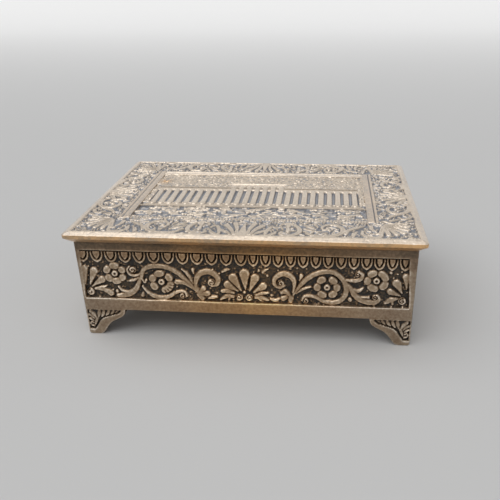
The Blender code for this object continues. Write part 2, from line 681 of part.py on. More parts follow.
def make_lid(brass, wood, axis):
    """The lid plate with its bevelled edge, sunk fields and hollow underside, and the board inside it."""
    rings = [
        lid_outline(LID_UNDERSIDE, LID_SIDE_UNDERCUT, LID_FRONT_UNDERCUT, LID_BACK_UNDERCUT),
        lid_outline(LID_TOP - LID_NOSE_DROP - LID_NOSE_HEIGHT),
        lid_outline(LID_TOP - LID_NOSE_DROP),
        lid_outline(LID_TOP, LID_TOP_BEVEL, LID_TOP_BEVEL, LID_TOP_BEVEL),
    ]
    lid = add_object("lid_plate", loft(rings), brass, axis, -HINGE_AXIS)
    boolean(lid, border_field(), "DIFFERENCE", "lid_border_field")
    boolean(lid, picture_field(), "DIFFERENCE", "lid_picture_field")
    carve_border(lid)
    carve_picture(lid)
    boolean(lid, lid_hollow(), "DIFFERENCE", "lid_hollow")
    groove = hinge_groove()
    bmesh.ops.translate(groove, verts=groove.verts, vec=HINGE_AXIS)
    boolean(lid, groove, "DIFFERENCE", "lid_hinge_groove")

    half_x = LID_LENGTH / 2 - LID_LIP - CLEARANCE
    half_y = LID_DEPTH / 2 - LID_LIP - CLEARANCE
    top = LID_UNDERSIDE + LID_HOLLOW - CLEARANCE
    board = box((-half_x, -half_y, top - LID_LINER_THICKNESS), (half_x, half_y, top))
    soften(add_object("lid_liner", board, wood, axis, -HINGE_AXIS), LINER_EDGE)


def make_hinge(brass, axis):
    """Tube knuckles, odd ones on the back wall and even ones on the lid, and the pin through them all."""
    bore = PIN_RADIUS + RUNNING_CLEARANCE
    half = KNUCKLE_LENGTH / 2
    for index in range(KNUCKLE_COUNT):
        tube = turned([(-half, bore), (-half, KNUCKLE_RADIUS), (half, KNUCKLE_RADIUS), (half, bore)])
        place = Vector(((index - (KNUCKLE_COUNT - 1) / 2) * KNUCKLE_PITCH, 0, 0))
        on_lid = index % 2 == 1
        location = place if on_lid else place + HINGE_AXIS
        knuckle = add_object(f"hinge_knuckle_{index + 1}", loft(tube, closed=True), brass, None, location)
        knuckle.parent = axis if on_lid else None

    shank = HINGE_LENGTH / 2 + CLEARANCE
    end = shank + PIN_HEAD_LENGTH
    rim = PIN_HEAD_RADIUS
    dome = rim / 2
    profile = [(-end, dome), (-shank - PIN_HEAD_LENGTH / 2, rim), (-shank, rim), (-shank, PIN_RADIUS)]
    profile += [(-x, radius) for x, radius in reversed(profile)]
    add_object("hinge_pin", loft(turned(profile)), brass, None, HINGE_AXIS)


def main():
    clear_scene()
    cast_brass = finish("cast brass", (0.36, 0.26, 0.14), 0.42, 1.0)
    sheet_brass = finish("sheet brass", (0.40, 0.29, 0.15), 0.38, 1.0)
    hinge_brass = finish("hinge brass", (0.44, 0.32, 0.16), 0.32, 1.0)
    braze = finish("braze", (0.34, 0.25, 0.13), 0.55, 1.0)
    cedar = finish("cedar", (0.30, 0.13, 0.06), 0.60, 0.0)

    axis = bpy.data.objects.new("lid_hinge_axis", None)
    axis.location = HINGE_AXIS
    bpy.context.collection.objects.link(axis)

    make_walls(cast_brass)
    make_floor(sheet_brass)
    make_gussets(braze)
    make_lining(cedar)
    make_lid(cast_brass, cedar, axis)
    make_hinge(hinge_brass, axis)


main()
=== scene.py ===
"""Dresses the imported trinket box: aged cast brass carved all round, a barrel hinge and a bare wood lining.

Sizes in the classes are millimetres. Meshes are written in metres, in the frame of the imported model.
"""

import logging
import math
from collections.abc import Callable, Sequence
from dataclasses import dataclass, field
from enum import Enum

import bmesh
import bpy
import numpy as np
from mathutils import Matrix, Vector


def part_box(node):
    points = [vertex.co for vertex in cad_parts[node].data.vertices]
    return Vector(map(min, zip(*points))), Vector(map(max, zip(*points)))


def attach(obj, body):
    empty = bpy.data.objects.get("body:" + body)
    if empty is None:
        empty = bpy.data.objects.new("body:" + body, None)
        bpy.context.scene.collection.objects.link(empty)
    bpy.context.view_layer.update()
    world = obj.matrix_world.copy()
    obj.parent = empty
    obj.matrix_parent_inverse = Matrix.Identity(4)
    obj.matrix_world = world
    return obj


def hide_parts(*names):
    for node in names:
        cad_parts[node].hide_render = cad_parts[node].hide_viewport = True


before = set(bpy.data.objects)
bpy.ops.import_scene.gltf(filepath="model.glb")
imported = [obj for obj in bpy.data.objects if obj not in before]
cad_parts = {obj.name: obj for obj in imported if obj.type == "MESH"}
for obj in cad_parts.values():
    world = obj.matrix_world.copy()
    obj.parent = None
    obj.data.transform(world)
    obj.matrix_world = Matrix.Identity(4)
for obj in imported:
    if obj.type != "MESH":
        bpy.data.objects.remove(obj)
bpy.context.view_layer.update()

MM = 0.001
LOG = logging.getLogger("trinket_box")
Point = tuple[float, float]
Array = np.ndarray


# Carving by numbers: smooth strokes and grain over a set of points

STROKE_STEP = 0.16
CROWN = 0.1
CROWN_WIDTH = 1.2
BARE = 0.05
LEAF_FLOW = 6.0
LEAF_SWAY = 0.3
LEAF_HALF = (0.4, 1.5)
LEAF_WIDTH = (0.36, 0.6)
LEAF_TAPER = 0.6
LEAF_HEIGHT = 0.7
LEAF_SHOULDER = 0.32
EYE_SHOULDER = 0.4
EYE_PINHOLE = 0.36
CURL_SHOULDER = 0.45
CURL_REACH = (0.72, 0.12)
CURL_POINTS = 14
CURL_GROOVE = 0.2
CURL_DEPTH = 0.75
LATTICE_SIDE = 128
CARVED_ANGLE = math.radians(50)
TURNED_ANGLE = math.radians(40)


def node_box(node: str) -> tuple[Array, Array]:
    """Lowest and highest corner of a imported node, in millimetres.

    Args:
        node: the node's name in the record.
    Returns:
        The two corners.
    """
    low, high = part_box(node)
    return np.array(low) / MM, np.array(high) / MM


def smooth_path(path: Sequence[Point], radii: Sequence[float]) -> tuple[Array, Array]:
    """Samples a smooth curve through given points.

    Args:
        path: the points that the curve goes through.
        radii: half widths, spread evenly from its start to its end.
    Returns:
        The sampled points, and the half width at each.
    """
    knots = np.array(path, float)
    if len(knots) == 1:
        return knots, np.array(radii[:1], float)
    gaps = np.linalg.norm(np.diff(knots, axis=0), axis=1)
    stations = np.concatenate([[0.0], np.cumsum(gaps)])
    count = max(int(stations[-1] / STROKE_STEP) + 2, 4)
    at = np.linspace(0, stations[-1], count)
    slopes = np.diff(knots, axis=0) / gaps[:, None]
    tangents = np.concatenate([slopes[:1], slopes[-1:]]) if len(knots) == 2 else np.empty_like(knots)
    if len(knots) > 2:
        tangents[0], tangents[-1] = slopes[0], slopes[-1]
        ahead, behind = gaps[1:, None], gaps[:-1, None]
        tangents[1:-1] = (slopes[:-1] * ahead + slopes[1:] * behind) / (ahead + behind)
    i = np.clip(np.searchsorted(stations, at, side="right") - 1, 0, len(knots) - 2)
    span = gaps[i][:, None]
    t = ((at - stations[i]) / gaps[i])[:, None]
    points = (
        knots[i] * (2 * t**3 - 3 * t**2 + 1)
        + tangents[i] * span * (t**3 - 2 * t**2 + t)
        + knots[i + 1] * (3 * t**2 - 2 * t**3)
        + tangents[i + 1] * span * (t**3 - t**2)
    )
    even = np.linspace(0, 1, count)
    return points, np.interp(even, np.linspace(0, 1, len(radii)), radii)


def arc(centre: Point, radius: float, start: float, end: float, count: int,
        end_radius: float | None = None) -> list[Point]:
    """Points on an arc, or on a spiral where the end radius differs.

    Args:
        centre: the arc's centre.
        radius: radius at the start.
        start: start angle in degrees, anticlockwise from +u.
        end: end angle in degrees, past a full turn for a spiral.
        count: number of points.
        end_radius: radius at the end.
    Returns:
        The points in order.
    """
    last = radius if end_radius is None else end_radius
    points = []
    for k in range(count):
        share = k / (count - 1)
        angle = math.radians(start + (end - start) * share)
        reach = radius + (last - radius) * share
        points.append((centre[0] + reach * math.cos(angle), centre[1] + reach * math.sin(angle)))
    return points


def grain(u: Array, v: Array, size: float, seed: int) -> Array:
    """Smooth random values from -1 to 1 in spots of one size.

    Args:
        u: first coordinates.
        v: second coordinates.
        size: width of a spot.
        seed: seed of the random lattice.
    Returns:
        One value for each point.
    """
    side = LATTICE_SIDE
    lattice = np.random.default_rng(seed).uniform(-1, 1, (side, side))
    x, y = u / size, v / size
    i, j = np.floor(x).astype(int), np.floor(y).astype(int)
    fx, fy = x - i, y - j
    fx, fy = fx * fx * (3 - 2 * fx), fy * fy * (3 - 2 * fy)
    i0, i1, j0, j1 = i % side, (i + 1) % side, j % side, (j + 1) % side
    low = lattice[i0, j0] * (1 - fx) + lattice[i1, j0] * fx
    high = lattice[i0, j1] * (1 - fx) + lattice[i1, j1] * fx
    return low * (1 - fy) + high * fy


def ease(distance: Array, width: float) -> Array:
    """A soft step: 0 below zero, 1 past the width."""
    t = np.clip(distance / width, 0, 1)
    return t * t * (3 - 2 * t)


def rounding(distance: Array, radius: float) -> Array:
    """How far a rounded edge falls back, by the distance from the edge."""
    run = radius - np.clip(distance, 0, radius)
    return radius - np.sqrt(radius * radius - run * run)


def hump(distance: Array, width: float) -> Array:
    """A smooth hump: 1 at zero, falling off over the width."""
    return np.exp(-((distance / width) ** 2))


def blur(values: Array, reach: int) -> Array:
    """Mean of a grid of values over a square, taken twice.

    Args:
        values: a 2-D grid.
        reach: half side of the square, in cells.
    Returns:
        The blurred grid.
    """
    for axis in (0, 1, 0, 1):
        pad = [(reach + 1, reach) if k == axis else (0, 0) for k in (0, 1)]
        total = np.cumsum(np.pad(values, pad, mode="edge"), axis=axis)
        size = 2 * reach + 1
        ahead = np.take(total, range(size, total.shape[axis]), axis)
        behind = np.take(total, range(total.shape[axis] - size), axis)
        values = (ahead - behind) / size
    return values


class Relief:
    """Heights of a carved face at a set of points, in millimetres above its ground."""

    def __init__(self, u: Array, v: Array) -> None:
        """Starts with bare ground.

        Args:
            u: first coordinates of the points.
            v: second coordinates of the points.
        """
        self.u = u
        self.v = v
        self.height = np.zeros_like(u)

    def _reach(self, path: Sequence[Point], radii: Sequence[float]) -> tuple[tuple[Array, ...], Array]:
        """Finds the points near a stroke.

        Args:
            path: the stroke's points.
            radii: its half widths.
        Returns:
            Indices of the points, and how far each lies inside the stroke's edge.
        """
        points, widths = smooth_path(path, radii)
        most = widths.max()
        low, high = points.min(axis=0) - most, points.max(axis=0) + most
        near = np.nonzero((self.u > low[0]) & (self.u < high[0]) & (self.v > low[1]) & (self.v < high[1]))
        best = np.full(len(near[0]), -9.0)
        u, v = self.u[near], self.v[near]
        for (pu, pv), width in zip(points, widths):
            np.maximum(best, width - np.sqrt((u - pu) ** 2 + (v - pv) ** 2), out=best)
        return near, best

    def stroke(self, path: Sequence[Point], radii: Sequence[float], height: float,
               shoulder: float = 0.6) -> None:
        """Raises a flat-topped stroke with rounded shoulders.

        Args:
            path: the points along its middle.
            radii: half widths from its start to its end.
            height: height along its middle.
            shoulder: width of the rounding along its sides.
        """
        near, inside = self._reach(path, radii)
        side = np.sin(np.clip(inside / shoulder, 0, 1) * math.pi / 2)
        rise = height * side * (1 - CROWN + CROWN * np.clip(inside / CROWN_WIDTH, 0, 1))
        self.height[near] = np.maximum(self.height[near], rise)

    def groove(self, path: Sequence[Point], radii: Sequence[float], depth: float) -> None:
        """Cuts a rounded groove into what stands there.

        Args:
            path: the points along its middle.
            radii: half widths from its start to its end.
            depth: depth along its middle.
        """
        near, inside = self._reach(path, radii)
        cut = depth * np.sin(np.clip(inside / max(radii), 0, 1) * math.pi / 2)
        self.height[near] = np.maximum(self.height[near] - cut, 0)

    def fill(self, inside: Array, count: int, rng: np.random.Generator) -> None:
        """Scatters small leaves over the ground that is still bare.

        Args:
            inside: true where leaves may lie.
            count: number of tries.
            rng: source of the random draws.
        """
        bare = np.argwhere(inside & (blur(self.height, 1) < BARE))
        flow = math.pi * grain(self.u, self.v, LEAF_FLOW, int(rng.integers(1000)))
        for row, column in bare[rng.integers(0, len(bare), count)]:
            turn = flow[row, column] + rng.uniform(-LEAF_SWAY, LEAF_SWAY)
            half, width = rng.uniform(*LEAF_HALF), rng.uniform(*LEAF_WIDTH)
            if self.height[row, column] > BARE:
                continue
            u, v = self.u[row, column], self.v[row, column]
            du, dv = half * math.cos(turn), half * math.sin(turn)
            ends = [(u - du, v - dv), (u + du, v + dv)]
            self.stroke(ends, (width, width * LEAF_TAPER), LEAF_HEIGHT, LEAF_SHOULDER)

    def eye(self, centre: Point, radius: float, height: float) -> None:
        """Raises a round boss with a pinhole in it."""
        self.stroke([centre], [radius], height, EYE_SHOULDER)
        self.groove([centre], [radius * EYE_PINHOLE], height)

    def curl(self, centre: Point, radius: float, start: float, turn: float, height: float) -> None:
        """Raises a small volute that winds in to a round eye.

        Args:
            centre: place of the eye.
            radius: outer radius.
            start: angle in degrees where it begins.
            turn: degrees that it winds through, negative for clockwise.
            height: height of its back.
        """
        self.stroke([centre], [radius], height, CURL_SHOULDER)
        first, last = (radius * share for share in CURL_REACH)
        path = arc(centre, first, start, start + turn, CURL_POINTS, last)
        self.groove(path, (CURL_GROOVE, CURL_GROOVE), height * CURL_DEPTH)


@dataclass(frozen=True)
class Rubbing:
    """How hands have rubbed a carved face: the tone of its ground, and what its tops and edges add."""

    ground: float
    tops: float
    start: float
    width: float
    stand: float
    near: float
    lift: float = 0.0
    wide_reach: int = 6
    near_reach: int = 2

    def tone(self, level: Array, full: float) -> Array:
        """How worn each point of a grid is, from its level and from how it stands out.

        Args:
            level: rows x columns heights above the ground.
            full: height of the plain bands.
        Returns:
            Values from 0 to 1.
        """
        stand = (level - blur(level, self.wide_reach)) / full
        near = (level - blur(level, self.near_reach)) / full
        risen = ease(level / full - self.start, self.width)
        raised = self.ground + self.tops * risen + self.lift * level / full
        return raised + self.stand * stand + self.near * near


# The carved patterns


@dataclass(frozen=True)
class Sprig:
    """One rounded stroke of a carving: points along its middle, half widths from start to end, and height."""

    path: tuple[Point, ...]
    radii: tuple[float, ...]
    height: float = 1.0


@dataclass(frozen=True)
class Flower:
    """A rosette round a pierced boss.

    Each petal is (angle in degrees, half its spare length along the circle).
    """

    centre: Point
    circle: float
    petals: tuple[Point, ...]
    creases: tuple[float, ...] = ()
    petal: float = 1.70
    petal_taper: float = 0.95
    petal_height: float = 1.02
    petal_shoulder: float = 0.7
    crease_inset: float = 0.2
    crease_radii: Point = (0.2, 0.25)
    crease_depth: float = 0.6
    moat: float = 0.35
    moat_depth: float = 2.0
    boss: float = 1.42
    boss_height: float = 1.08

    def draw(self, relief: Relief) -> None:
        """Raises the petals and the boss.

        Args:
            relief: the face that it is carved on.
        """
        tip = self.petal * self.petal_taper
        for angle, half in self.petals:
            swing = math.degrees(half / self.circle)
            path = arc(self.centre, self.circle, angle - swing, angle + swing, 5)
            relief.stroke(path, (tip, self.petal, tip), self.petal_height, self.petal_shoulder)
        for angle in self.creases:
            turn = math.radians(angle)
            span = (self.circle - self.crease_inset, self.circle + self.petal)
            ends = [(self.centre[0] + r * math.cos(turn), self.centre[1] + r * math.sin(turn)) for r in span]
            relief.groove(ends, self.crease_radii, self.crease_depth)
        relief.groove([self.centre], [self.boss + self.moat], self.moat_depth)
        relief.eye(self.centre, self.boss, self.boss_height)


# Scrolls on each side of the palmette, and the palmette, read from left to right
MIDDLE_SPRIGS = (
    # left ring stem with the leaf along it, and its lower half with a curled end
    Sprig(((-38.8, 25.4), (-37.6, 28.8), (-34.6, 30.4), (-31.2, 30.6), (-27.9, 29.9), (-25.1, 28.3),
           (-22.6, 26.0), (-20.3, 23.6), (-18.3, 20.9)), (0.7, 0.95, 0.9, 0.85, 0.6)),
    Sprig(((-23.0, 29.6), (-21.6, 28.4), (-20.2, 26.2), (-19.2, 23.8)), (0.4, 0.75, 0.5)),
    Sprig(((-38.7, 21.8), (-37.2, 19.7), (-34.6, 17.8), (-31.5, 17.2), (-28.7, 17.9), (-26.5, 19.4),
           (-24.4, 20.2), (-22.5, 19.8), (-22.0, 18.3)), (0.45, 0.8, 0.85, 0.7, 0.6)),
    Sprig(((-38.6, 25.0), (-37.6, 23.6), (-37.0, 24.6)), (0.5, 0.55)),
    Sprig(((-25.3, 24.1), (-22.5, 23.9), (-20.2, 22.4), (-18.3, 20.7)), (0.95, 0.8, 0.45)),
    # left volute and the leaves at its foot
    Sprig(((-18.2, 21.4), (-18.2, 23.6), (-17.6, 26.2), (-15.9, 28.2), (-13.4, 29.0), (-11.0, 28.1),
           (-9.6, 25.9), (-10.2, 23.8), (-12.0, 23.2)), (0.6, 0.95, 1.15, 1.0, 0.75)),
    Sprig(((-7.9, 28.9), (-6.6, 29.7), (-5.4, 30.0)), (0.5, 0.65, 0.45), 0.8),
    Sprig(((-9.1, 28.1),), (0.5,), 0.8),
    Sprig(((-12.2, 29.0), (-11.3, 29.9)), (0.7, 0.35)),
    Sprig(((-18.9, 29.6), (-18.7, 28.0)), (0.65, 0.4)),
    Sprig(((-18.0, 21.3), (-17.8, 20.6)), (1.0, 0.8)),
    Sprig(((-17.2, 19.6), (-15.3, 21.7)), (0.7, 0.95)),
    Sprig(((-16.6, 19.4), (-13.9, 19.6)), (0.8, 1.0)),
    Sprig(((-17.3, 19.0), (-16.0, 17.6)), (0.85, 0.85)),
    Sprig(((-13.6, 17.6), (-11.8, 18.2), (-10.5, 18.4)), (0.5, 0.8, 0.5)),
    # palmette
    Sprig(((0.5, 21.9), (0.3, 28.5)), (0.4, 1.62), 1.06),
    Sprig(((-1.1, 21.4), (-4.0, 26.7)), (0.42, 1.5), 1.05),
    Sprig(((-2.4, 21.2), (-6.2, 23.8)), (0.42, 1.32), 1.04),
    Sprig(((-3.9, 20.3), (-6.3, 21.0), (-8.5, 20.9)), (0.5, 1.0, 0.6)),
    Sprig(((-4.2, 18.7), (-6.4, 18.9), (-8.0, 18.0), (-9.1, 17.3)), (0.7, 0.85, 0.45)),
    Sprig(((-5.6, 18.2), (-5.9, 17.4)), (0.6, 0.45)),
    Sprig(((2.1, 21.4), (4.2, 26.9)), (0.42, 1.42), 1.05),
    Sprig(((3.5, 20.8), (7.2, 23.5)), (0.42, 1.28), 1.04),
    Sprig(((4.4, 19.7), (6.8, 20.5), (9.0, 20.7)), (0.55, 0.75, 0.5)),
    Sprig(((4.3, 18.6), (6.4, 18.7), (8.9, 17.6)), (0.65, 0.85, 0.55)),
    Sprig(((5.6, 18.0), (6.3, 17.3)), (0.55, 0.45)),
    Sprig(((0.1, 20.6),), (0.62,)),
    # right volute and its leaves
    Sprig(((18.3, 21.2), (18.7, 23.8), (18.6, 26.0), (17.3, 28.0), (15.2, 29.0), (12.8, 28.2),
           (11.3, 26.2), (11.5, 24.3), (13.3, 23.2), (14.9, 24.0)), (0.55, 0.8, 1.1, 0.95, 0.7, 0.6)),
    Sprig(((7.1, 29.2), (8.2, 30.2), (9.1, 30.6)), (0.6, 0.5, 0.4), 0.8),
    Sprig(((5.7, 29.9),), (0.5,), 0.8),
    Sprig(((8.8, 27.8),), (0.5,), 0.8),
    Sprig(((20.7, 26.4), (21.3, 28.4)), (0.4, 0.75)),
    Sprig(((14.0, 21.0), (15.4, 21.5), (16.6, 20.4)), (0.7, 1.0, 0.7)),
    Sprig(((14.6, 18.6), (15.8, 19.2)), (1.0, 0.8)),
    Sprig(((17.5, 18.9), (17.3, 17.7)), (1.0, 0.85)),
    Sprig(((16.4, 20.2), (17.4, 19.6)), (0.6, 0.6)),
    Sprig(((9.9, 18.2), (11.6, 17.7), (13.4, 18.6)), (0.5, 0.75, 0.45)),
    Sprig(((10.3, 19.5),), (0.6,), 0.7),
    # right ring stem with its curled end, and the leaf inside it
    Sprig(((18.3, 20.2), (21.0, 24.4), (23.2, 27.0), (26.3, 29.2), (29.1, 30.2), (32.7, 30.2),
           (35.2, 28.7), (37.1, 25.9), (37.8, 22.8), (37.1, 20.1), (35.2, 18.2), (32.4, 17.5),
           (29.6, 18.0), (26.8, 19.5), (24.3, 20.1), (22.2, 19.5), (21.7, 18.2)),
           (0.5, 0.9, 0.95, 0.9, 0.95, 0.9, 0.75, 0.55)),
    Sprig(((19.4, 20.9), (22.1, 23.0), (24.7, 23.9)), (0.45, 0.65, 0.5)),
)

# Stems, buds and corner palmettes beyond the rings, on the long walls alone
END_SPRIGS = (
    # left: bud, small leaf and crescent
    Sprig(((-38.2, 28.0), (-39.6, 26.8), (-41.6, 26.3), (-43.5, 27.3), (-43.8, 28.9), (-42.9, 30.1)),
           (0.6, 0.6, 0.45)),
    Sprig(((-39.4, 25.7), (-41.6, 24.5), (-44.5, 23.8)), (0.45, 0.7, 0.35)),
    Sprig(((-39.0, 25.8), (-40.1, 23.1), (-41.7, 20.3), (-44.3, 18.5), (-47.0, 17.7), (-48.8, 17.6)),
           (0.6, 0.95, 1.15, 0.7)),
    Sprig(((-44.6, 19.2), (-46.6, 19.7), (-48.1, 21.3)), (0.6, 0.6, 0.5)),
    Sprig(((-48.9, 19.2),), (0.7,), 0.8),
    Sprig(((-38.9, 18.8), (-39.2, 17.8)), (0.55, 0.7), 0.7),
    # left corner palmette
    Sprig(((-60.9, 22.2), (-60.3, 28.8)), (0.45, 1.2)),
    Sprig(((-59.0, 22.2), (-56.8, 27.8)), (0.45, 1.35)),
    Sprig(((-58.4, 21.2), (-54.1, 24.3)), (0.4, 1.25)),
    Sprig(((-57.3, 20.2), (-55.0, 20.6), (-52.8, 21.5)), (0.6, 0.85, 0.35)),
    Sprig(((-56.2, 20.2), (-53.4, 19.7), (-51.4, 18.4)), (0.55, 0.85, 1.05)),
    # right: hooked bud, forked stem and small leaf
    Sprig(((36.4, 27.3), (39.3, 27.0), (41.5, 27.1), (43.1, 28.0), (43.3, 29.6), (42.1, 30.4)),
           (0.5, 0.75, 0.8, 0.7)),
    Sprig(((37.4, 26.2), (39.3, 23.9), (40.7, 21.3), (42.7, 19.4), (45.5, 18.3), (48.3, 18.2),
           (49.8, 19.6), (49.0, 20.9)), (0.6, 0.95, 1.05, 0.95, 0.75)),
    Sprig(((53.5, 30.5),), (0.6,), 0.8),
    Sprig(((42.9, 20.2), (46.0, 20.2)), (0.5, 0.6)),
    Sprig(((40.3, 23.6), (42.3, 22.8), (43.8, 24.1)), (0.5, 0.8, 0.4)),
    Sprig(((39.3, 19.0),), (0.85,), 0.8),
    # right corner palmette
    Sprig(((59.4, 24.3), (58.9, 29.2)), (0.45, 1.15)),
    Sprig(((57.9, 22.5), (55.8, 26.4)), (0.4, 1.4)),
    Sprig(((57.4, 21.3), (53.7, 22.9)), (0.4, 1.15)),
    Sprig(((56.5, 20.1), (54.4, 19.6), (52.2, 18.1)), (0.5, 1.0, 0.6)),
    Sprig(((54.6, 18.9), (54.9, 17.7)), (0.7, 0.5)),
)

# Round ends that wind in, as (centre, radius, angle where the groove starts, turn of the groove)
CURLS = (
    ((-1.9, 18.45), 1.55, 200, -400),
    ((1.85, 18.45), 1.55, -20, 400),
    ((-12.1, 24.3), 1.75, 80, -420),
    ((13.7, 25.0), 1.4, 100, 420),
    ((-23.5, 18.3), 1.35, 60, -380),
    ((22.9, 17.9), 1.3, 120, 380),
)
END_CURLS = (
    ((-59.2, 18.9), 1.6, 90, 300),
    ((-41.7, 28.7), 1.5, 200, 420),
    ((58.2, 19.2), 1.65, 60, 420),
    ((41.6, 29.5), 1.2, -60, 400),
    ((48.3, 20.3), 1.25, -60, 400),
)

# Leaf on a foot, as (distance from the corner, height)
FOOT_SPRIGS = (
    # lobes along the top, from the rib outwards
    Sprig(((4.6, 7.5), (5.0, 9.0), (5.3, 10.2)), (0.5, 0.85, 0.8), 0.86),
    Sprig(((6.0, 7.9), (6.7, 9.1), (7.1, 10.2)), (0.5, 0.85, 0.75), 0.85),
    Sprig(((7.8, 8.6), (8.6, 9.5), (9.1, 10.3)), (0.45, 0.8, 0.7), 0.84),
    Sprig(((9.7, 9.0), (10.4, 9.7), (11.0, 10.3)), (0.4, 0.7, 0.6), 0.82),
    Sprig(((11.5, 9.6), (12.2, 10.1), (12.9, 10.5)), (0.35, 0.5, 0.35), 0.8),
    # the rib and the lobes towards the corner
    Sprig(((2.9, 4.2), (3.4, 5.6), (4.0, 6.9)), (0.5, 0.7, 0.7), 0.86),
    Sprig(((3.6, 7.6), (2.6, 9.2), (1.7, 10.1)), (0.6, 0.95, 0.8), 0.86),
    Sprig(((2.9, 6.9), (1.8, 8.0), (1.0, 8.5)), (0.5, 0.75, 0.6), 0.84),
    Sprig(((2.4, 5.8), (1.5, 6.5), (0.9, 6.8)), (0.45, 0.7, 0.55), 0.83),
    # a curl at the toe
    Sprig(((2.3, 3.4), (1.4, 3.7), (0.95, 4.5), (1.5, 5.2), (2.2, 4.8)), (0.5, 0.5, 0.5, 0.5), 0.84),
)


class FriezeKind(Enum):
    """Which run of carving a wall carries."""

    LONG = "long"
    SHORT = "short"


@dataclass
class Frieze:
    """The carved band round the walls: a row of tongues above scrolls, flowers and palmettes."""

    kind: FriezeKind
    seed: int
    tongue_start: float = -0.8
    tongue_pitch_left: float = 5.4
    tongue_pitch_right: float = 4.54
    tongue_share: float = 0.385
    tongue_top: float = 36.45
    tongue_foot: float = 31.7
    flowers: tuple[Flower, ...] = (
        Flower((-31.2, 24.0), 3.55, ((100, 0.7), (32, 0.35), (-45, 1.85), (-148, 0.5), (157, 0.4)),
               (-18, -36, -54, -72)),
        Flower((30.7, 23.9), 3.6, ((125, 0.5), (52, 0.5), (0, 0.3), (-52, 0.5), (-119, 0.55), (182, 0.3))),
    )
    end_flowers: tuple[Flower, ...] = (
        Flower((-48.8, 27.0), 3.25, ((152, 0.4), (88, 0.6), (27, 0.2), (-31, 0.2), (-84, 0.5), (-140, 0.4))),
        Flower((48.5, 27.2), 3.3, ((120, 0.6), (40, 1.25), (-33, 0.75), (-112, 0.85), (182, 0.35))),
    )
    fullness: float = 1.38
    shoulder: float = 0.75
    curl_height: float = 1.03
    tongue_gap: float = 0.16
    tongue_soft: float = 0.2
    rim_radii: tuple[float, ...] = (0.44, 0.5, 0.6, 0.6)
    rim_height: float = 0.97
    rim_shoulder: float = 0.42
    rim_drop: float = 1.7
    rim_bend: Point = (0.58, 1.0)
    rim_foot: float = 0.2
    shield_gap: float = 0.62
    shield_drops: Point = (0.1, 1.5)
    shield_foot: float = 1.75
    shield_taper: Point = (0.97, 0.42)
    shield_height: float = 1.02
    shield_shoulder: float = 0.3
    lumps: float = 14.0
    lump_zone: Point = (16.4, 32.6)
    lump_radius: Point = (0.25, 0.55)
    lump_height: Point = (0.14, 0.58)
    lump_shoulder: float = 0.4

    def draw(self, relief: Relief, reach: float) -> None:
        """Raises the whole band.

        Args:
            relief: the face that it is carved on.
            reach: half length of the carved field.
        """
        rng = np.random.default_rng(self.seed)
        self._tongues(relief, reach)
        relief.height *= ease(self.tongue_top - self.tongue_gap - relief.v, self.tongue_soft)
        long = self.kind is FriezeKind.LONG
        for sprig in MIDDLE_SPRIGS + (END_SPRIGS if long else ()):
            relief.stroke(sprig.path, [r * self.fullness for r in sprig.radii], sprig.height, self.shoulder)
        for flower in self.flowers + (self.end_flowers if long else ()):
            flower.draw(relief)
        for centre, radius, start, turn in CURLS + (END_CURLS if long else ()):
            relief.curl(centre, radius, start, turn, self.curl_height)
        for _ in range(int(self.lumps * reach)):
            spot = (rng.uniform(-reach, reach), rng.uniform(*self.lump_zone))
            radius, height = rng.uniform(*self.lump_radius), rng.uniform(*self.lump_height)
            relief.stroke([spot], [radius], height, self.lump_shoulder)

    def _tongues(self, relief: Relief, reach: float) -> None:
        """Raises the row of tongues, each in its own rim.

        Args:
            relief: the face that they are carved on.
            reach: half length of the carved field.
        """
        for side, pitch in ((-1, self.tongue_pitch_left), (1, self.tongue_pitch_right)):
            first = 0 if side < 0 else 1
            for k in range(first, int(reach / pitch) + 2):
                self._tongue(relief, self.tongue_start + side * k * pitch, pitch)

    def _tongue(self, relief: Relief, x: float, pitch: float) -> None:
        """Raises one tongue.

        Args:
            relief: the face that it is carved on.
            x: its middle.
            pitch: room that it has along the row.
        """
        half = self.tongue_share * pitch
        top, foot = self.tongue_top, self.tongue_foot
        for side in (-1, 1):
            out = side * half
            bend = (x + self.rim_bend[0] * out, foot + self.rim_bend[1])
            rim = [(x + out, top), (x + out, top - self.rim_drop), bend, (x, foot + self.rim_foot)]
            relief.stroke(rim, self.rim_radii, self.rim_height, self.rim_shoulder)
        core = half - self.shield_gap
        shield = [(x, top - drop) for drop in self.shield_drops] + [(x, foot + self.shield_foot)]
        radii = (core, core * self.shield_taper[0], core * self.shield_taper[1])
        relief.stroke(shield, radii, self.shield_height, self.shield_shoulder)


STRIP_FULLNESS = 1.3
STRIP_SHOULDER = 0.34
VEIN_RADII = (0.19, 0.21, 0.15)
VEIN_DEPTH = 0.2


def draw_strip(relief: Relief, sprigs: Sequence[Sprig], place: Callable[[Point], Point]) -> None:
    """Raises sprigs that are given along a strip.

    Args:
        relief: the face that they are carved on.
        sprigs: sprigs as (along, across) points.
        place: turns such a point into one of the face's.
    """
    for sprig in sprigs:
        path = [place(p) for p in sprig.path]
        relief.stroke(path, [r * STRIP_FULLNESS for r in sprig.radii], sprig.height, STRIP_SHOULDER)
        relief.groove(path, VEIN_RADII, VEIN_DEPTH)


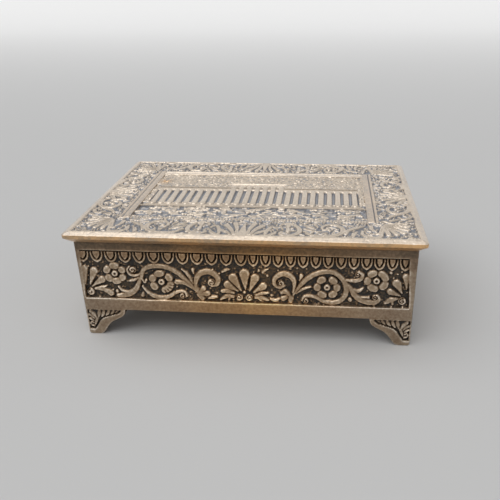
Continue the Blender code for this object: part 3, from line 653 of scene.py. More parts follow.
# Half of a border strip of the lid, as (distance from the strip's middle, distance in from its outer edge)
PALMETTE_SPRIGS = (
    Sprig(((0.0, 1.0), (0.0, 6.0), (0.0, 10.6)), (1.5, 0.9, 0.35), 0.85),
    Sprig(((1.9, 1.0), (2.3, 6.0), (3.6, 10.8)), (0.55, 0.7, 0.9), 0.82),
    Sprig(((3.0, 1.2), (4.3, 5.0), (6.6, 9.0)), (0.55, 0.8, 1.0), 0.82),
    Sprig(((4.2, 1.0), (5.9, 3.1), (8.4, 4.9)), (0.5, 0.85, 0.7), 0.8),
)
LONG_STRIP_SPRIGS = (
    Sprig(((8.2, 1.2), (9.0, 6.0), (10.4, 8.4), (12.2, 7.2)), (0.5, 0.75, 0.7, 0.45), 0.8),
    Sprig(((9.4, 1.0), (11.3, 2.6), (11.9, 4.2)), (0.7, 0.8, 0.45), 0.78),
    Sprig(((16.6, 11.6), (19.4, 8.8), (20.4, 5.2), (18.6, 1.7), (15.6, 0.9), (13.4, 2.8), (14.0, 4.2)),
           (0.55, 0.85, 0.85, 0.55), 0.85),
    Sprig(((16.1, 11.4), (16.1, 8.0), (16.2, 5.0)), (1.1, 0.55, 0.85), 0.8),
    Sprig(((14.0, 11.2), (13.0, 9.6)), (0.7, 0.5), 0.75),
    Sprig(((22.2, 4.8), (24.6, 1.9), (28.6, 0.8), (32.8, 1.7), (35.6, 4.8), (35.6, 8.3), (33.2, 11.0),
           (30.3, 11.1), (28.4, 8.9), (28.9, 6.7), (30.8, 6.6)), (0.6, 0.85, 0.95, 0.9, 0.7, 0.5), 0.88),
    Sprig(((30.3, 8.0),), (0.75,), 0.85),
    Sprig(((27.0, 4.6), (24.4, 6.1), (21.8, 7.3)), (0.4, 0.85, 0.4), 0.78),
    Sprig(((26.2, 7.0), (24.0, 9.2), (21.8, 10.6)), (0.4, 0.85, 0.45), 0.78),
    Sprig(((26.8, 9.0), (25.8, 11.3)), (0.45, 0.7), 0.75),
    Sprig(((32.4, 3.4), (32.6, 5.4)), (0.75, 0.4), 0.72),
    Sprig(((36.9, 3.6), (37.7, 6.6), (40.6, 9.1), (43.2, 10.7)), (0.5, 0.75, 0.8, 0.5), 0.82),
    Sprig(((39.2, 1.2), (39.6, 3.8), (40.8, 5.8)), (0.55, 0.8, 0.4), 0.76),
    Sprig(((42.6, 6.4), (42.9, 3.0), (45.2, 1.0), (48.2, 1.3), (49.2, 3.6), (47.4, 4.6)),
           (0.5, 0.8, 0.8, 0.5), 0.84),
    Sprig(((46.0, 10.8), (46.2, 8.2), (47.6, 6.2)), (0.8, 0.7, 0.4), 0.78),
)
SHORT_STRIP_SPRIGS = (
    Sprig(((7.8, 3.6), (9.6, 1.3), (13.2, 0.8), (16.6, 2.0), (18.6, 4.9), (17.8, 8.2), (15.0, 9.9),
           (12.2, 8.8), (11.6, 6.4), (13.2, 5.0)), (0.55, 0.8, 0.9, 0.85, 0.7, 0.5), 0.88),
    Sprig(((13.9, 6.3),), (0.75,), 0.85),
    Sprig(((10.2, 4.2), (8.8, 7.2), (8.6, 10.4)), (0.4, 0.8, 0.5), 0.78),
    Sprig(((18.9, 2.2), (21.0, 1.2), (23.2, 2.2), (24.0, 4.6), (22.4, 6.0)), (0.5, 0.8, 0.55), 0.82),
    Sprig(((19.8, 5.2), (20.8, 8.2), (23.4, 10.4)), (0.4, 0.85, 0.5), 0.8),
    Sprig(((24.6, 6.6), (25.6, 9.6)), (0.5, 0.75), 0.76),
    Sprig(((25.2, 1.2), (26.4, 3.4)), (0.8, 0.45), 0.74),
)


@dataclass
class Colonnade:
    """The lid's picture: a straight-on hall with a raised middle, steps and stony ground before it."""

    half_width: float
    low: float
    seed: int = 11
    pitch: float = 3.42
    column: float = 1.36
    column_spread: Point = (0.94, 1.04)
    column_height: float = 1.05
    steps: int = 3
    step_rise: float = 1.25
    step_out: float = 0.9
    step_height: float = 0.95
    step_fall: float = 0.1
    floor: float = -11.2
    wing_top: float = 4.6
    hall_top: float = 9.4
    hall_columns: int = 7
    wing_columns: int = 9
    beam: float = 3.2
    gable_rise: float = 5.6
    gable_height: float = 0.72
    sky_height: float = 0.8
    soft: float = 0.3
    stones: int = 330
    stone_half: Point = (0.2, 1.6)
    stone_size: Point = (0.45, 0.95)
    stone_height: Point = (0.5, 1.0)

    def draw(self, relief: Relief) -> None:
        """Raises the sky, the building and the ground.

        Args:
            relief: the face that it is carved on.
        """
        rng = np.random.default_rng(self.seed)
        hall_half = self.pitch * self.hall_columns / 2
        whole_half = hall_half + self.pitch * self.wing_columns
        self._sky(relief)
        self._sink(relief, whole_half, self.wing_top + self.beam)
        self._sink(relief, hall_half, self.hall_top + self.beam)
        count = self.hall_columns + 2 * self.wing_columns
        for k in range(count):
            x = (k - (count - 1) / 2) * self.pitch
            top = self.hall_top if abs(x) < hall_half else self.wing_top
            self._column(relief, x, top, rng)
        self._beam(relief, whole_half, self.wing_top)
        self._beam(relief, hall_half, self.hall_top)
        self._gable(relief, hall_half)
        self._steps(relief, whole_half)
        self._stones(relief, rng)

    def _sky(self, relief: Relief) -> None:
        """A rippled sky that stands between the ground and the columns.

        Args:
            relief: the face that it is carved on.
        """
        u, v = relief.u, relief.v
        ripple = grain(u, v, 1.1, self.seed) * 0.06 + grain(u / 4, v, 1.2, self.seed + 1) * 0.1
        speckle = grain(u, v, 0.55, self.seed + 2) * 0.30
        inside = ease(v - self.floor, 0.5)
        relief.height = np.maximum(relief.height, inside * (self.sky_height + ripple + speckle))

    def _sink(self, relief: Relief, half: float, high: float) -> None:
        """Clears a rectangle that stands on the floor, with soft edges."""
        tall = np.minimum(relief.v - self.floor, high - relief.v)
        relief.height = relief.height * (1 - ease(np.minimum(half - np.abs(relief.u), tall), self.soft))

    def _column(self, relief: Relief, x: float, top: float, rng: np.random.Generator) -> None:
        """Raises one column with its base and capital.

        Args:
            relief: the face that it is carved on.
            x: its middle.
            top: its height.
            rng: source of the random draws.
        """
        half = self.column * rng.uniform(*self.column_spread)
        shaft = [(x, self.floor + 0.2), (x, top - 0.6)]
        relief.stroke(shaft, (half * 1.04, half * 0.94), self.column_height, 0.6)
        for z, radius, height in ((top - 0.45, 0.55, 1.1), (self.floor + 0.5, 0.5, 1.0)):
            relief.stroke([(x - half, z), (x + half, z)], (radius, radius), height, 0.35)

    def _beam(self, relief: Relief, half: float, low: float) -> None:
        """Raises a beam on its columns: two bands and a moulding.

        Args:
            relief: the face that it is carved on.
            half: half its length.
            low: its underside.
        """
        for base, rise, height in ((0.0, 1.2, 0.95), (1.2, 1.3, 0.82), (2.4, 0.8, 1.12)):
            tall = np.minimum(relief.v - low - base, low + base + rise - relief.v)
            inside = ease(np.minimum(half + 0.2 - np.abs(relief.u), tall), 0.25)
            relief.height = np.maximum(relief.height, inside * height)

    def _gable(self, relief: Relief, half: float) -> None:
        """Raises a low gable over the middle, with a raking moulding and a plain round in its face.

        Args:
            relief: the face that it is carved on.
            half: half its length.
        """
        base = self.hall_top + self.beam
        peak = (0.0, base + self.gable_rise)
        slope = self.gable_rise / (half + 0.6)
        inside = ease(np.minimum(peak[1] - np.abs(relief.u) * slope - relief.v, relief.v - base), 0.4)
        relief.height = np.maximum(relief.height, inside * self.gable_height)
        for side in (-1, 1):
            relief.stroke([(side * (half + 0.6), base + 0.2), peak], (0.6, 0.6), 1.12)
        relief.eye((0.0, base + 2.0), 1.05, 0.98)

    def _steps(self, relief: Relief, half: float) -> None:
        """Raises the steps before the columns.

        Args:
            relief: the face that they are carved on.
            half: half the length of the building.
        """
        u, v = relief.u, relief.v
        for k in range(self.steps):
            reach = half + self.step_out * (self.steps - k)
            low = self.floor - self.step_rise * (self.steps - k)
            tall = np.minimum(v - low, low + self.step_rise - v)
            inside = ease(np.minimum(reach - np.abs(u), tall), self.soft)
            relief.height = np.maximum(relief.height, inside * (self.step_height - self.step_fall * k))

    def _stones(self, relief: Relief, rng: np.random.Generator) -> None:
        """Scatters dressed blocks and stones over the ground before the steps.

        Args:
            relief: the face that they are carved on.
            rng: source of the random draws.
        """
        top = self.floor - self.steps * self.step_rise
        for _ in range(self.stones):
            x, y = rng.uniform(-self.half_width, self.half_width), rng.uniform(self.low + 0.6, top - 0.4)
            half, size = rng.uniform(*self.stone_half), rng.uniform(*self.stone_size)
            lean = rng.uniform(-0.5, 0.5)
            ends = [(x - half, y - half * lean), (x + half, y + half * lean)]
            taper = size * rng.uniform(0.7, 1.0)
            relief.stroke(ends, (size, taper), rng.uniform(*self.stone_height), 0.35)


# Finishes


class Nodes:
    """Short hand for laying out a material's nodes."""

    def __init__(self, name: str) -> None:
        """Makes a material that holds one Principled shader.

        Args:
            name: the material's name.
        """
        self.material = bpy.data.materials.new(name)
        self.material.use_nodes = True
        self.tree = self.material.node_tree
        self.shader = self.tree.nodes["Principled BSDF"]

    def add(self, kind: str, **settings: object) -> bpy.types.Node:
        """Adds a node.

        Args:
            kind: the node's type name.
            settings: properties to set on it.
        Returns:
            The node.
        """
        node = self.tree.nodes.new(kind)
        for key, value in settings.items():
            setattr(node, key, value)
        return node

    def link(self, out: bpy.types.NodeSocket, into: bpy.types.NodeSocket) -> None:
        """Joins two sockets."""
        self.tree.links.new(out, into)

    def noise(self, scale: float, detail: float, roughness: float = 0.55,
              stretch: tuple = (1, 1, 1)) -> bpy.types.NodeSocket:
        """Noise on Object coordinates.

        Args:
            scale: spots per metre.
            detail: octaves.
            roughness: weight of the finer octaves.
            stretch: scale along each axis.
        Returns:
            The noise's value socket.
        """
        place = self.add("ShaderNodeTexCoord")
        mapping = self.add("ShaderNodeMapping")
        mapping.inputs["Scale"].default_value = stretch
        texture = self.add("ShaderNodeTexNoise")
        texture.inputs["Scale"].default_value = scale
        texture.inputs["Detail"].default_value = detail
        texture.inputs["Roughness"].default_value = roughness
        self.link(place.outputs["Object"], mapping.inputs["Vector"])
        self.link(mapping.outputs["Vector"], texture.inputs["Vector"])
        return texture.outputs["Fac"]

    def math(self, operation: str, first: object, second: object,
             third: object = None) -> bpy.types.NodeSocket:
        """A Math node on sockets or numbers.

        Args:
            operation: the node's operation.
            first: first value.
            second: second value.
            third: third value, where the operation takes one.
        Returns:
            The result socket.
        """
        node = self.add("ShaderNodeMath", operation=operation)
        for socket, value in zip(node.inputs, (first, second, third)):
            if isinstance(value, bpy.types.NodeSocket):
                self.link(value, socket)
            elif value is not None:
                socket.default_value = value
        return node.outputs[0]

    def ramp(self, value: bpy.types.NodeSocket, stops: Sequence[tuple]) -> bpy.types.NodeSocket:
        """A colour ramp.

        Args:
            value: what it reads.
            stops: (place, colour) pairs, from low to high.
        Returns:
            The colour socket.
        """
        node = self.add("ShaderNodeValToRGB")
        elements = node.color_ramp.elements
        while len(elements) < len(stops):
            elements.new(0.5)
        for element, (place, colour) in zip(elements, stops):
            element.position = place
            element.color = (*colour, 1)
        self.link(value, node.inputs["Fac"])
        return node.outputs["Color"]

    def spread(self, value: bpy.types.NodeSocket, low: float, high: float) -> bpy.types.NodeSocket:
        """Maps 0 to 1 onto a range."""
        return self.math("MULTIPLY_ADD", value, high - low, low)

    def bump(self, height: bpy.types.NodeSocket, distance: float, strength: float) -> None:
        """Fine unevenness on the shader's normal.

        Args:
            height: height from 0 to 1.
            distance: its size in metres.
            strength: how much of it shows.
        """
        node = self.add("ShaderNodeBump")
        node.inputs["Distance"].default_value = distance
        node.inputs["Strength"].default_value = strength
        self.link(height, node.inputs["Height"])
        self.link(node.outputs["Normal"], self.shader.inputs["Normal"])


Colour = tuple[float, float, float]


@dataclass(frozen=True)
class AgedBrass:
    """Cast brass: a dark glossy film in the hollows, brown on the flats, worn pale on the high points."""

    name: str
    hollow: Colour = (0.018, 0.014, 0.010)
    shade: Colour = (0.105, 0.082, 0.058)
    flat: Colour = (0.278, 0.200, 0.139)
    worn: Colour = (0.470, 0.385, 0.292)
    bright: Colour = (0.88, 0.80, 0.70)
    tint: Colour = (1.36, 1.02, 0.62)
    film_index: float = 1.5
    film: float = 0.0
    stops: tuple[float, ...] = (0.10, 0.30, 0.56, 0.80, 1.0)

    def make(self) -> bpy.types.Material:
        """Builds the material, which reads the relief and warm attributes of its mesh.

        Returns:
            The material.
        """
        nodes = Nodes(self.name)
        relief = nodes.add("ShaderNodeAttribute", attribute_name="relief").outputs["Fac"]
        warm = nodes.add("ShaderNodeAttribute", attribute_name="warm").outputs["Fac"]
        patches = nodes.noise(60.0, 3.0)
        specks = nodes.noise(900.0, 4.0, 0.6)
        tone = nodes.math("MULTIPLY_ADD", nodes.math("SUBTRACT", patches, 0.5), 0.34, relief)
        tone = nodes.math("MULTIPLY_ADD", nodes.math("SUBTRACT", specks, 0.5), 0.5, tone)
        colours = (self.hollow, self.shade, self.flat, self.worn, self.bright)
        colour = nodes.ramp(tone, tuple(zip(self.stops, colours)))
        tinted = nodes.add("ShaderNodeMix", data_type="RGBA", blend_type="MULTIPLY")
        nodes.link(nodes.math("MULTIPLY", warm, nodes.spread(patches, 0.5, 1.3)), tinted.inputs["Factor"])
        nodes.link(colour, tinted.inputs["A"])
        tinted.inputs["B"].default_value = (*self.tint, 1)
        nodes.link(tinted.outputs["Result"], nodes.shader.inputs["Base Color"])
        gloss = ((0.0, (0.42,) * 3), (0.35, (0.5,) * 3), (1.0, (0.34,) * 3))
        nodes.link(nodes.ramp(tone, gloss), nodes.shader.inputs["Roughness"])
        metal = ((0.14, (0.0,) * 3), (0.42, (1.0,) * 3))
        nodes.link(nodes.ramp(tone, metal), nodes.shader.inputs["Metallic"])
        nodes.shader.inputs["IOR"].default_value = self.film_index
        nodes.shader.inputs["Coat Weight"].default_value = self.film
        nodes.shader.inputs["Coat IOR"].default_value = self.film_index
        nodes.shader.inputs["Coat Roughness"].default_value = 0.3
        nodes.bump(specks, 0.00012, 0.5)
        return nodes.material


@dataclass(frozen=True)
class DrawnBrass:
    """Drawn or rolled brass gone dull, with faint lines along X and brown stains."""

    name: str = "dull_drawn_brass"
    stain: Colour = (0.090, 0.062, 0.036)
    metal: Colour = (0.300, 0.215, 0.118)
    lines: tuple[float, float, float] = (0.06, 1.0, 1.0)

    def make(self) -> bpy.types.Material:
        """Builds the material.

        Returns:
            The material.
        """
        nodes = Nodes(self.name)
        lines = nodes.noise(2600.0, 3.0, 0.6, self.lines)
        stains = nodes.noise(140.0, 4.0)
        tone = nodes.math("MULTIPLY_ADD", nodes.math("SUBTRACT", lines, 0.5), 0.5, stains)
        colour = nodes.ramp(tone, ((0.30, self.stain), (0.62, self.metal)))
        nodes.link(colour, nodes.shader.inputs["Base Color"])
        nodes.link(nodes.spread(stains, 0.30, 0.52), nodes.shader.inputs["Roughness"])
        nodes.shader.inputs["Metallic"].default_value = 1.0
        nodes.bump(lines, 0.00004, 0.4)
        return nodes.material


@dataclass(frozen=True)
class BareCedar:
    """Thin unpolished boards with a straight reddish grain along one axis."""

    name: str
    along: tuple[float, float, float]
    early: Colour = (0.31, 0.150, 0.072)
    late: Colour = (0.145, 0.060, 0.028)

    def make(self) -> bpy.types.Material:
        """Builds the material.

        Returns:
            The material.
        """
        nodes = Nodes(self.name)
        grain_lines = nodes.noise(420.0, 5.0, 0.62, self.along)
        pores = nodes.noise(2400.0, 2.0, 0.6, self.along)
        tone = nodes.math("MULTIPLY_ADD", nodes.math("SUBTRACT", pores, 0.5), 0.35, grain_lines)
        colour = nodes.ramp(tone, ((0.34, self.late), (0.58, self.early)))
        nodes.link(colour, nodes.shader.inputs["Base Color"])
        nodes.link(nodes.spread(pores, 0.48, 0.70), nodes.shader.inputs["Roughness"])
        nodes.bump(tone, 0.00008, 0.4)
        return nodes.material


# Modelling by hand


def deselect() -> None:
    """Leaves edit mode and clears the selection."""
    if bpy.context.object and bpy.context.object.mode != "OBJECT":
        bpy.ops.object.mode_set(mode="OBJECT")
    bpy.ops.object.select_all(action="DESELECT")


def activate(*objects: bpy.types.Object) -> None:
    """Selects these objects alone.

    Args:
        objects: what to select, the active one first.
    """
    deselect()
    for obj in objects:
        obj.select_set(True)
    bpy.context.view_layer.objects.active = objects[0]


def coordinates(mesh: bpy.types.Mesh) -> Array:
    """Reads a mesh's points.

    Args:
        mesh: the mesh.
    Returns:
        One row for each point, in metres.
    """
    flat = np.empty(len(mesh.vertices) * 3)
    mesh.vertices.foreach_get("co", flat)
    return flat.reshape(-1, 3)


def place_points(mesh: bpy.types.Mesh, points: Array) -> None:
    """Moves the mesh's points, which are given in millimetres."""
    mesh.vertices.foreach_set("co", (points * MM).astype(np.float32).ravel())
    mesh.update()


def set_values(mesh: bpy.types.Mesh, name: str, values: Array) -> None:
    """Writes one value from 0 to 1 for each point, as an attribute that the finish reads."""
    layer = mesh.attributes.get(name) or mesh.attributes.new(name, "FLOAT", "POINT")
    layer.data.foreach_set("value", np.clip(values, 0, 1).astype(np.float32))


def sheet(name: str, columns: int, rows: int, points: Array, relief: Array, warm: Array) -> bpy.types.Object:
    """A grid primitive whose points are then set by their row and column.

    Args:
        name: the object's name.
        columns: points along the first way.
        rows: points along the second way.
        points: rows x columns x 3 places, in millimetres.
        relief: rows x columns wear, with painted shade and painted highlights added on the walls and on the
            lid's bevel and nose, from 0 in a hollow to 1 on a high point.
        warm: rows x columns tint, from 0 for grey to 1 for golden.
    Returns:
        The object.
    """
    deselect()
    bpy.ops.mesh.primitive_grid_add(x_subdivisions=columns - 1, y_subdivisions=rows - 1, size=2)
    obj = bpy.context.object
    obj.name = name
    at = coordinates(obj.data)
    i = np.rint((at[:, 0] + 1) / 2 * (columns - 1)).astype(int)
    j = np.rint((at[:, 1] + 1) / 2 * (rows - 1)).astype(int)
    place_points(obj.data, points[j, i])
    set_values(obj.data, "relief", relief[j, i])
    set_values(obj.data, "warm", warm[j, i])
    return obj


def extrude_loop(move: Callable[[Vector], Vector]) -> None:
    """In edit mode, extrudes the selected loop and moves the new one, point by point.

    Args:
        move: turns a point into its new place, in metres.
    """
    bpy.ops.mesh.extrude_region_move()
    mesh = bpy.context.object.data
    edit = bmesh.from_edit_mesh(mesh)
    for vert in edit.verts:
        if vert.select:
            vert.co = move(vert.co)
    bmesh.update_edit_mesh(mesh)


def lines(low: float, high: float, step: float) -> Array:
    """Even lines from low to high.

    Args:
        low: first line.
        high: last line.
        step: widest gap.
    Returns:
        The lines in order.
    """
    count = max(int(math.ceil((high - low) / step)), 1)
    return np.unique(np.round(np.linspace(low, high, count + 1), 5))


def finish_piece(obj: bpy.types.Object, body: str, slot: str, material: bpy.types.Material,
                 *nodes: str) -> None:
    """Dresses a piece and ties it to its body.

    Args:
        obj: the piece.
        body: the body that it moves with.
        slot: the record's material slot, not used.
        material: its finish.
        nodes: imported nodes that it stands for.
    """
    obj.data.materials.clear()
    obj.data.materials.append(material)
    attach(obj, body)
    if nodes:
        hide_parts(*nodes)
    LOG.info("%s: %d faces on %s", obj.name, len(obj.data.polygons), body)


# Sub-assemblies


@dataclass
class FootShape:
    """A bracket foot in front view, as (distance from the corner, height)."""

    height: float
    spread: float = 15.8
    toe: float = 4.2
    rows: int = 18
    field_heights: tuple[float, ...] = (2.1, 2.4, 4.1, 6.1, 7.4, 8.3, 9.3, 10.2, 11.3)
    field_widths: tuple[float, ...] = (2.4, 3.0, 4.2, 5.4, 6.8, 9.6, 12.7, 13.8, 14.6)

    def edge(self) -> tuple[Array, Array]:
        """The foot's curved edge from the toe up.

        Returns:
            Its distances from the corner, and its heights.
        """
        run = self.spread - self.toe
        middle = np.array((self.toe + 0.46 * run, 0.46 * self.height))
        lean = np.array((0.22 * run, 0.20 * self.height))
        toe, low = np.array((self.toe, 0.0)), np.array((self.toe + 0.22 * run, 0.0))
        high, top = np.array((self.spread, 0.66 * self.height)), np.array((self.spread, self.height))
        lower = self._bezier(toe, low, middle - lean, middle)
        upper = self._bezier(middle, middle + lean, high, top)
        points = np.concatenate([lower, upper[1:]])
        return points[:, 0], points[:, 1]

    def _bezier(self, *controls: Array) -> Array:
        """Points along a cubic curve of four controls.

        Args:
            controls: the four control points.
        Returns:
            The points in order.
        """
        t = np.linspace(0, 1, self.rows + 1)[:, None]
        a, b, c, d = controls
        return a * (1 - t) ** 3 + b * 3 * t * (1 - t) ** 2 + c * 3 * t * t * (1 - t) + d * t**3


@dataclass
class Wall:
    """One cast wall with its two half feet, carved on its outer face.

    It is modelled as if it were the front wall: x along it, y from its outer face inwards, z up.
    """

    name: str
    node: str
    length: float
    turn: float
    kind: FriezeKind
    seed: int
    rim: float
    foot: FootShape
    hinge_half: float = 0.0
    thickness: float = 3.4
    top_band: float = 3.3
    bottom_band: float = 4.9
    left_border: Point = (1.05, 1.35)
    right_border: Point = (1.5, 2.9)
    sink: float = 1.25
    foot_sink: float = 0.95
    # Painted shade under the lid's overhang: how much the top band and the tongue row below it are darkened.
    painted_lid_shadow: float = 0.285
    painted_tongue_shade: float = 0.16
    tongue_row: float = 31.0
    tongue_warmth: float = 0.12
    carved_warmth: float = 0.18
    carved_grey: float = 0.6
    golden_share: float = 0.3
    # Painted highlight: how bright the line along the carved field's lower lip is made.
    lip_painted_highlight: float = 0.34
    edge_shine: float = 0.14
    leaf_fullness: float = 1.1
    rubbing: Rubbing = Rubbing(0.305, 0.315, 0.08, 0.32, 0.36, 1.0, lift=0.03, wide_reach=7)
    toe_radius: float = 1.3
    edge_radius: float = 0.5
    step: float = 0.21
    band_step: float = 0.42
    lip_step: float = 0.07
    hinge_radius: float = 1.8
    hinge_back: float = 0.6
    hinge_rise: float = 0.15
    _bottom_row: Array = field(init=False, repr=False)

    def build(self) -> bpy.types.Object:
        """Models the wall.

        Returns:
            The finished mesh, in its place.
        """
        wall = self._face()
        feet = [self._foot_face(side) for side in (-1, 1)]
        activate(wall, *feet)
        bpy.ops.object.join()
        bpy.ops.object.mode_set(mode="EDIT")
        bpy.ops.mesh.select_all(action="SELECT")
        bpy.ops.mesh.remove_doubles(threshold=1e-6)
        bpy.ops.mesh.select_all(action="SELECT")
        bpy.ops.mesh.region_to_loop()
        inside = self.thickness * MM
        extrude_loop(lambda p: Vector((p.x, inside, p.z)))
        bpy.ops.mesh.edge_face_add()
        for side in (-1, 1):
            bpy.ops.mesh.select_all(action="SELECT")
            end = (side * self.length / 2 * MM, 0, 0)
            bpy.ops.mesh.bisect(plane_co=end, plane_no=(side, 1, 0), use_fill=True, clear_outer=True)
        bpy.ops.mesh.select_all(action="SELECT")
        bpy.ops.mesh.normals_make_consistent(inside=False)
        bpy.ops.object.mode_set(mode="OBJECT")
        bpy.ops.object.shade_smooth_by_angle(angle=CARVED_ANGLE)
        return self._put(wall)

    def _put(self, wall: bpy.types.Object) -> bpy.types.Object:
        """Turns the wall to its side of the box and fixes its place in its mesh.

        Args:
            wall: the wall, modelled as the front one.
        Returns:
            The same wall, in its place.
        """
        low, high = (np.array(corner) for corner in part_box(self.node))
        out = Vector((math.sin(self.turn), -math.cos(self.turn), 0))
        reach = max(abs(float(out.x)) * max(-low[0], high[0]), abs(float(out.y)) * max(-low[1], high[1]))
        wall.rotation_euler.z = self.turn
        wall.location = out * reach
        activate(wall)
        bpy.ops.object.transform_apply(location=True, rotation=True, scale=True)
        wall.name = self.name
        return wall

    def _columns(self) -> Array:
        """Lines across the wall, fine at its ends, with one at the inner end of each foot.

        Returns:
            The lines in order.
        """
        half, knee = self.length / 2, self.length / 2 - self.foot.spread
        edges = (0.05, 0.12, 0.2, 0.32)
        left = lines(-half, -knee, self.step)
        parts = [left, lines(-knee, knee, self.step), -left[::-1]]
        ends = np.array([half - e for e in edges])
        return np.unique(np.round(np.concatenate([*parts, ends, -ends]), 5))

    def _rows(self) -> Array:
        """Lines up the wall, fine at its edges and over the carving.

        Returns:
            The lines in order.
        """
        low, high = self.foot.height, self.rim
        field_low, field_high = low + self.bottom_band - 0.4, high - self.top_band + 0.4
        parts = [
            lines(low, field_low, self.band_step),
            lines(field_low, field_high, self.step),
            lines(field_high, high, self.band_step),
        ]
        fine = (0.06, 0.15, 0.28)
        edges = [low + e for e in fine] + [high - e for e in fine]
        edges += [low + self.bottom_band + self.lip_step * k for k in range(-3, 10)]
        return np.unique(np.round(np.concatenate([*parts, edges]), 5))

    def _skin(self, x: Array, z: Array) -> Array:
        """Slow unevenness of the plain casting."""
        return 0.05 * grain(x, z, 7.0, self.seed) + 0.025 * grain(x, z, 2.2, self.seed + 1)

    def _carved(self, x: Array, z: Array) -> Array:
        """Heights of the frieze with its pitted ground.

        Args:
            x: places along the wall.
            z: heights above the table.
        Returns:
            The height at each point.
        """
        relief = Relief(x, z)
        Frieze(self.kind, self.seed).draw(relief, self.length / 2)
        pitted = 0.2 * grain(x, z, 0.6, self.seed + 2) + 0.14 * grain(x, z, 1.3, self.seed + 3)
        return relief.height + pitted * (1 - 0.72 * np.minimum(relief.height, 1))

    def _field_ends(self, x: Array, z: Array, low: float, high: float) -> Array:
        """Distance in from the slanting ends of the carved field.

        Args:
            x: places along the wall.
            z: heights above the table.
            low: lower edge of the field.
            high: upper edge of the field.
        Returns:
            The distance at each point.
        """
        half = self.length / 2
        rise = np.clip((z - low) / (high - low), 0, 1)
        left = self.left_border[0] + (self.left_border[1] - self.left_border[0]) * rise
        right = self.right_border[0] + (self.right_border[1] - self.right_border[0]) * rise
        return np.minimum(x + half - left, half - right - x)

    def _face(self) -> bpy.types.Object:
        """Carves the wall's outer face above its feet.

        Returns:
            The face as an open sheet.
        """
        xs, zs = self._columns(), self._rows()
        x, z = np.meshgrid(xs, zs)
        half, knee = self.length / 2, self.length / 2 - self.foot.spread
        wander = 0.12 * grain(x, z, 9.0, self.seed + 4)
        low, high = self.foot.height + self.bottom_band, self.rim - self.top_band
        sides = self._field_ends(x, z, low, high)
        inside = ease(np.minimum(np.minimum(z - low, high - z) + wander, sides + wander), 0.5)
        level = self.sink + self._skin(x, z)
        level = level * (1 - inside) + np.clip(self._carved(x, z), -0.1, self.sink - 0.05) * inside
        above = z - self.foot.height
        bottom = np.where(np.abs(x) < knee, above, np.hypot(np.abs(x) - knee, above))
        fall = rounding(np.minimum(half - np.abs(x), np.minimum(self.rim - z, bottom)), self.edge_radius)
        depth = np.maximum(self.sink - level + fall, fall)
        if self.hinge_half:
            depth = np.maximum(depth, self._hinge_channel(x, z))
        self._bottom_row = depth[0]
        points = np.stack([x, depth, z], axis=-1)
        # Painted shade under the lid's overhang: the tongue row is darkened, and the top band more.
        tongues = ease(z - self.tongue_row, 2.0)
        wear = self.rubbing.tone(level, self.sink) - self.painted_tongue_shade * tongues
        wear -= (self.painted_lid_shadow - self.painted_tongue_shade) * ease(z - high, 0.5) * ease(self.rim - z - 0.1, 0.3)
        # Painted highlight: a pale line along the field's lower lip.
        wear += self.lip_painted_highlight * hump(z - low + wander - 0.08, 0.34) * (sides > 0)
        wear += self.edge_shine * hump(np.minimum(half - np.abs(x), bottom), 0.4)
        carved = inside * (self.carved_warmth + self.tongue_warmth * tongues)
        warm = self._warmth(x) * (1 - self.carved_grey * inside) + carved
        return sheet(self.name, len(xs), len(zs), points, wear, warm)

    def _warmth(self, x: Array) -> Array:
        """The metal is golden along the wall's middle and grey towards its ends."""
        return hump(x / self.length, self.golden_share)

    def _hinge_channel(self, x: Array, z: Array) -> Array:
        """Depth of the round channel along the rim that the hinge lies in.

        Args:
            x: places along the wall.
            z: heights above the table.
        Returns:
            The depth at each point.
        """
        drop = self.rim + self.hinge_rise - z
        bite = np.sqrt(np.maximum(self.hinge_radius**2 - drop**2, 0)) - self.hinge_back
        return np.where((np.abs(x) < self.hinge_half) & (drop < self.hinge_radius), np.maximum(bite, 0), 0)

    def _foot_level(self, s: Array, x: Array, z: Array) -> Array:
        """Heights of a foot's face above the ground of its carving.

        Args:
            s: distances from the corner.
            x: places along the wall.
            z: heights above the table.
        Returns:
            The height at each point.
        """
        relief = Relief(s, z)
        for sprig in FOOT_SPRIGS:
            relief.stroke(sprig.path, [r * self.leaf_fullness for r in sprig.radii], sprig.height, 0.5)
        height = relief.height + 0.08 * grain(s, z, 0.5, self.seed + 5)
        curve = np.interp(z, self.foot.field_heights, self.foot.field_widths)
        gap = np.minimum(np.minimum((curve - s) * 0.72, z - 2.15), np.minimum(10.95 - z, s - 0.45))
        inside = ease(gap, 0.35)
        height = np.maximum(height, 0.24 * ease(gap - 0.5, 0.3))
        ridge = 0.12 * hump(gap + 0.35, 0.3)
        level = self.foot_sink + self._skin(x, z) - 0.12 * (1 - inside) + ridge
        return level * (1 - inside) + np.clip(height, 0, self.foot_sink - 0.05) * inside

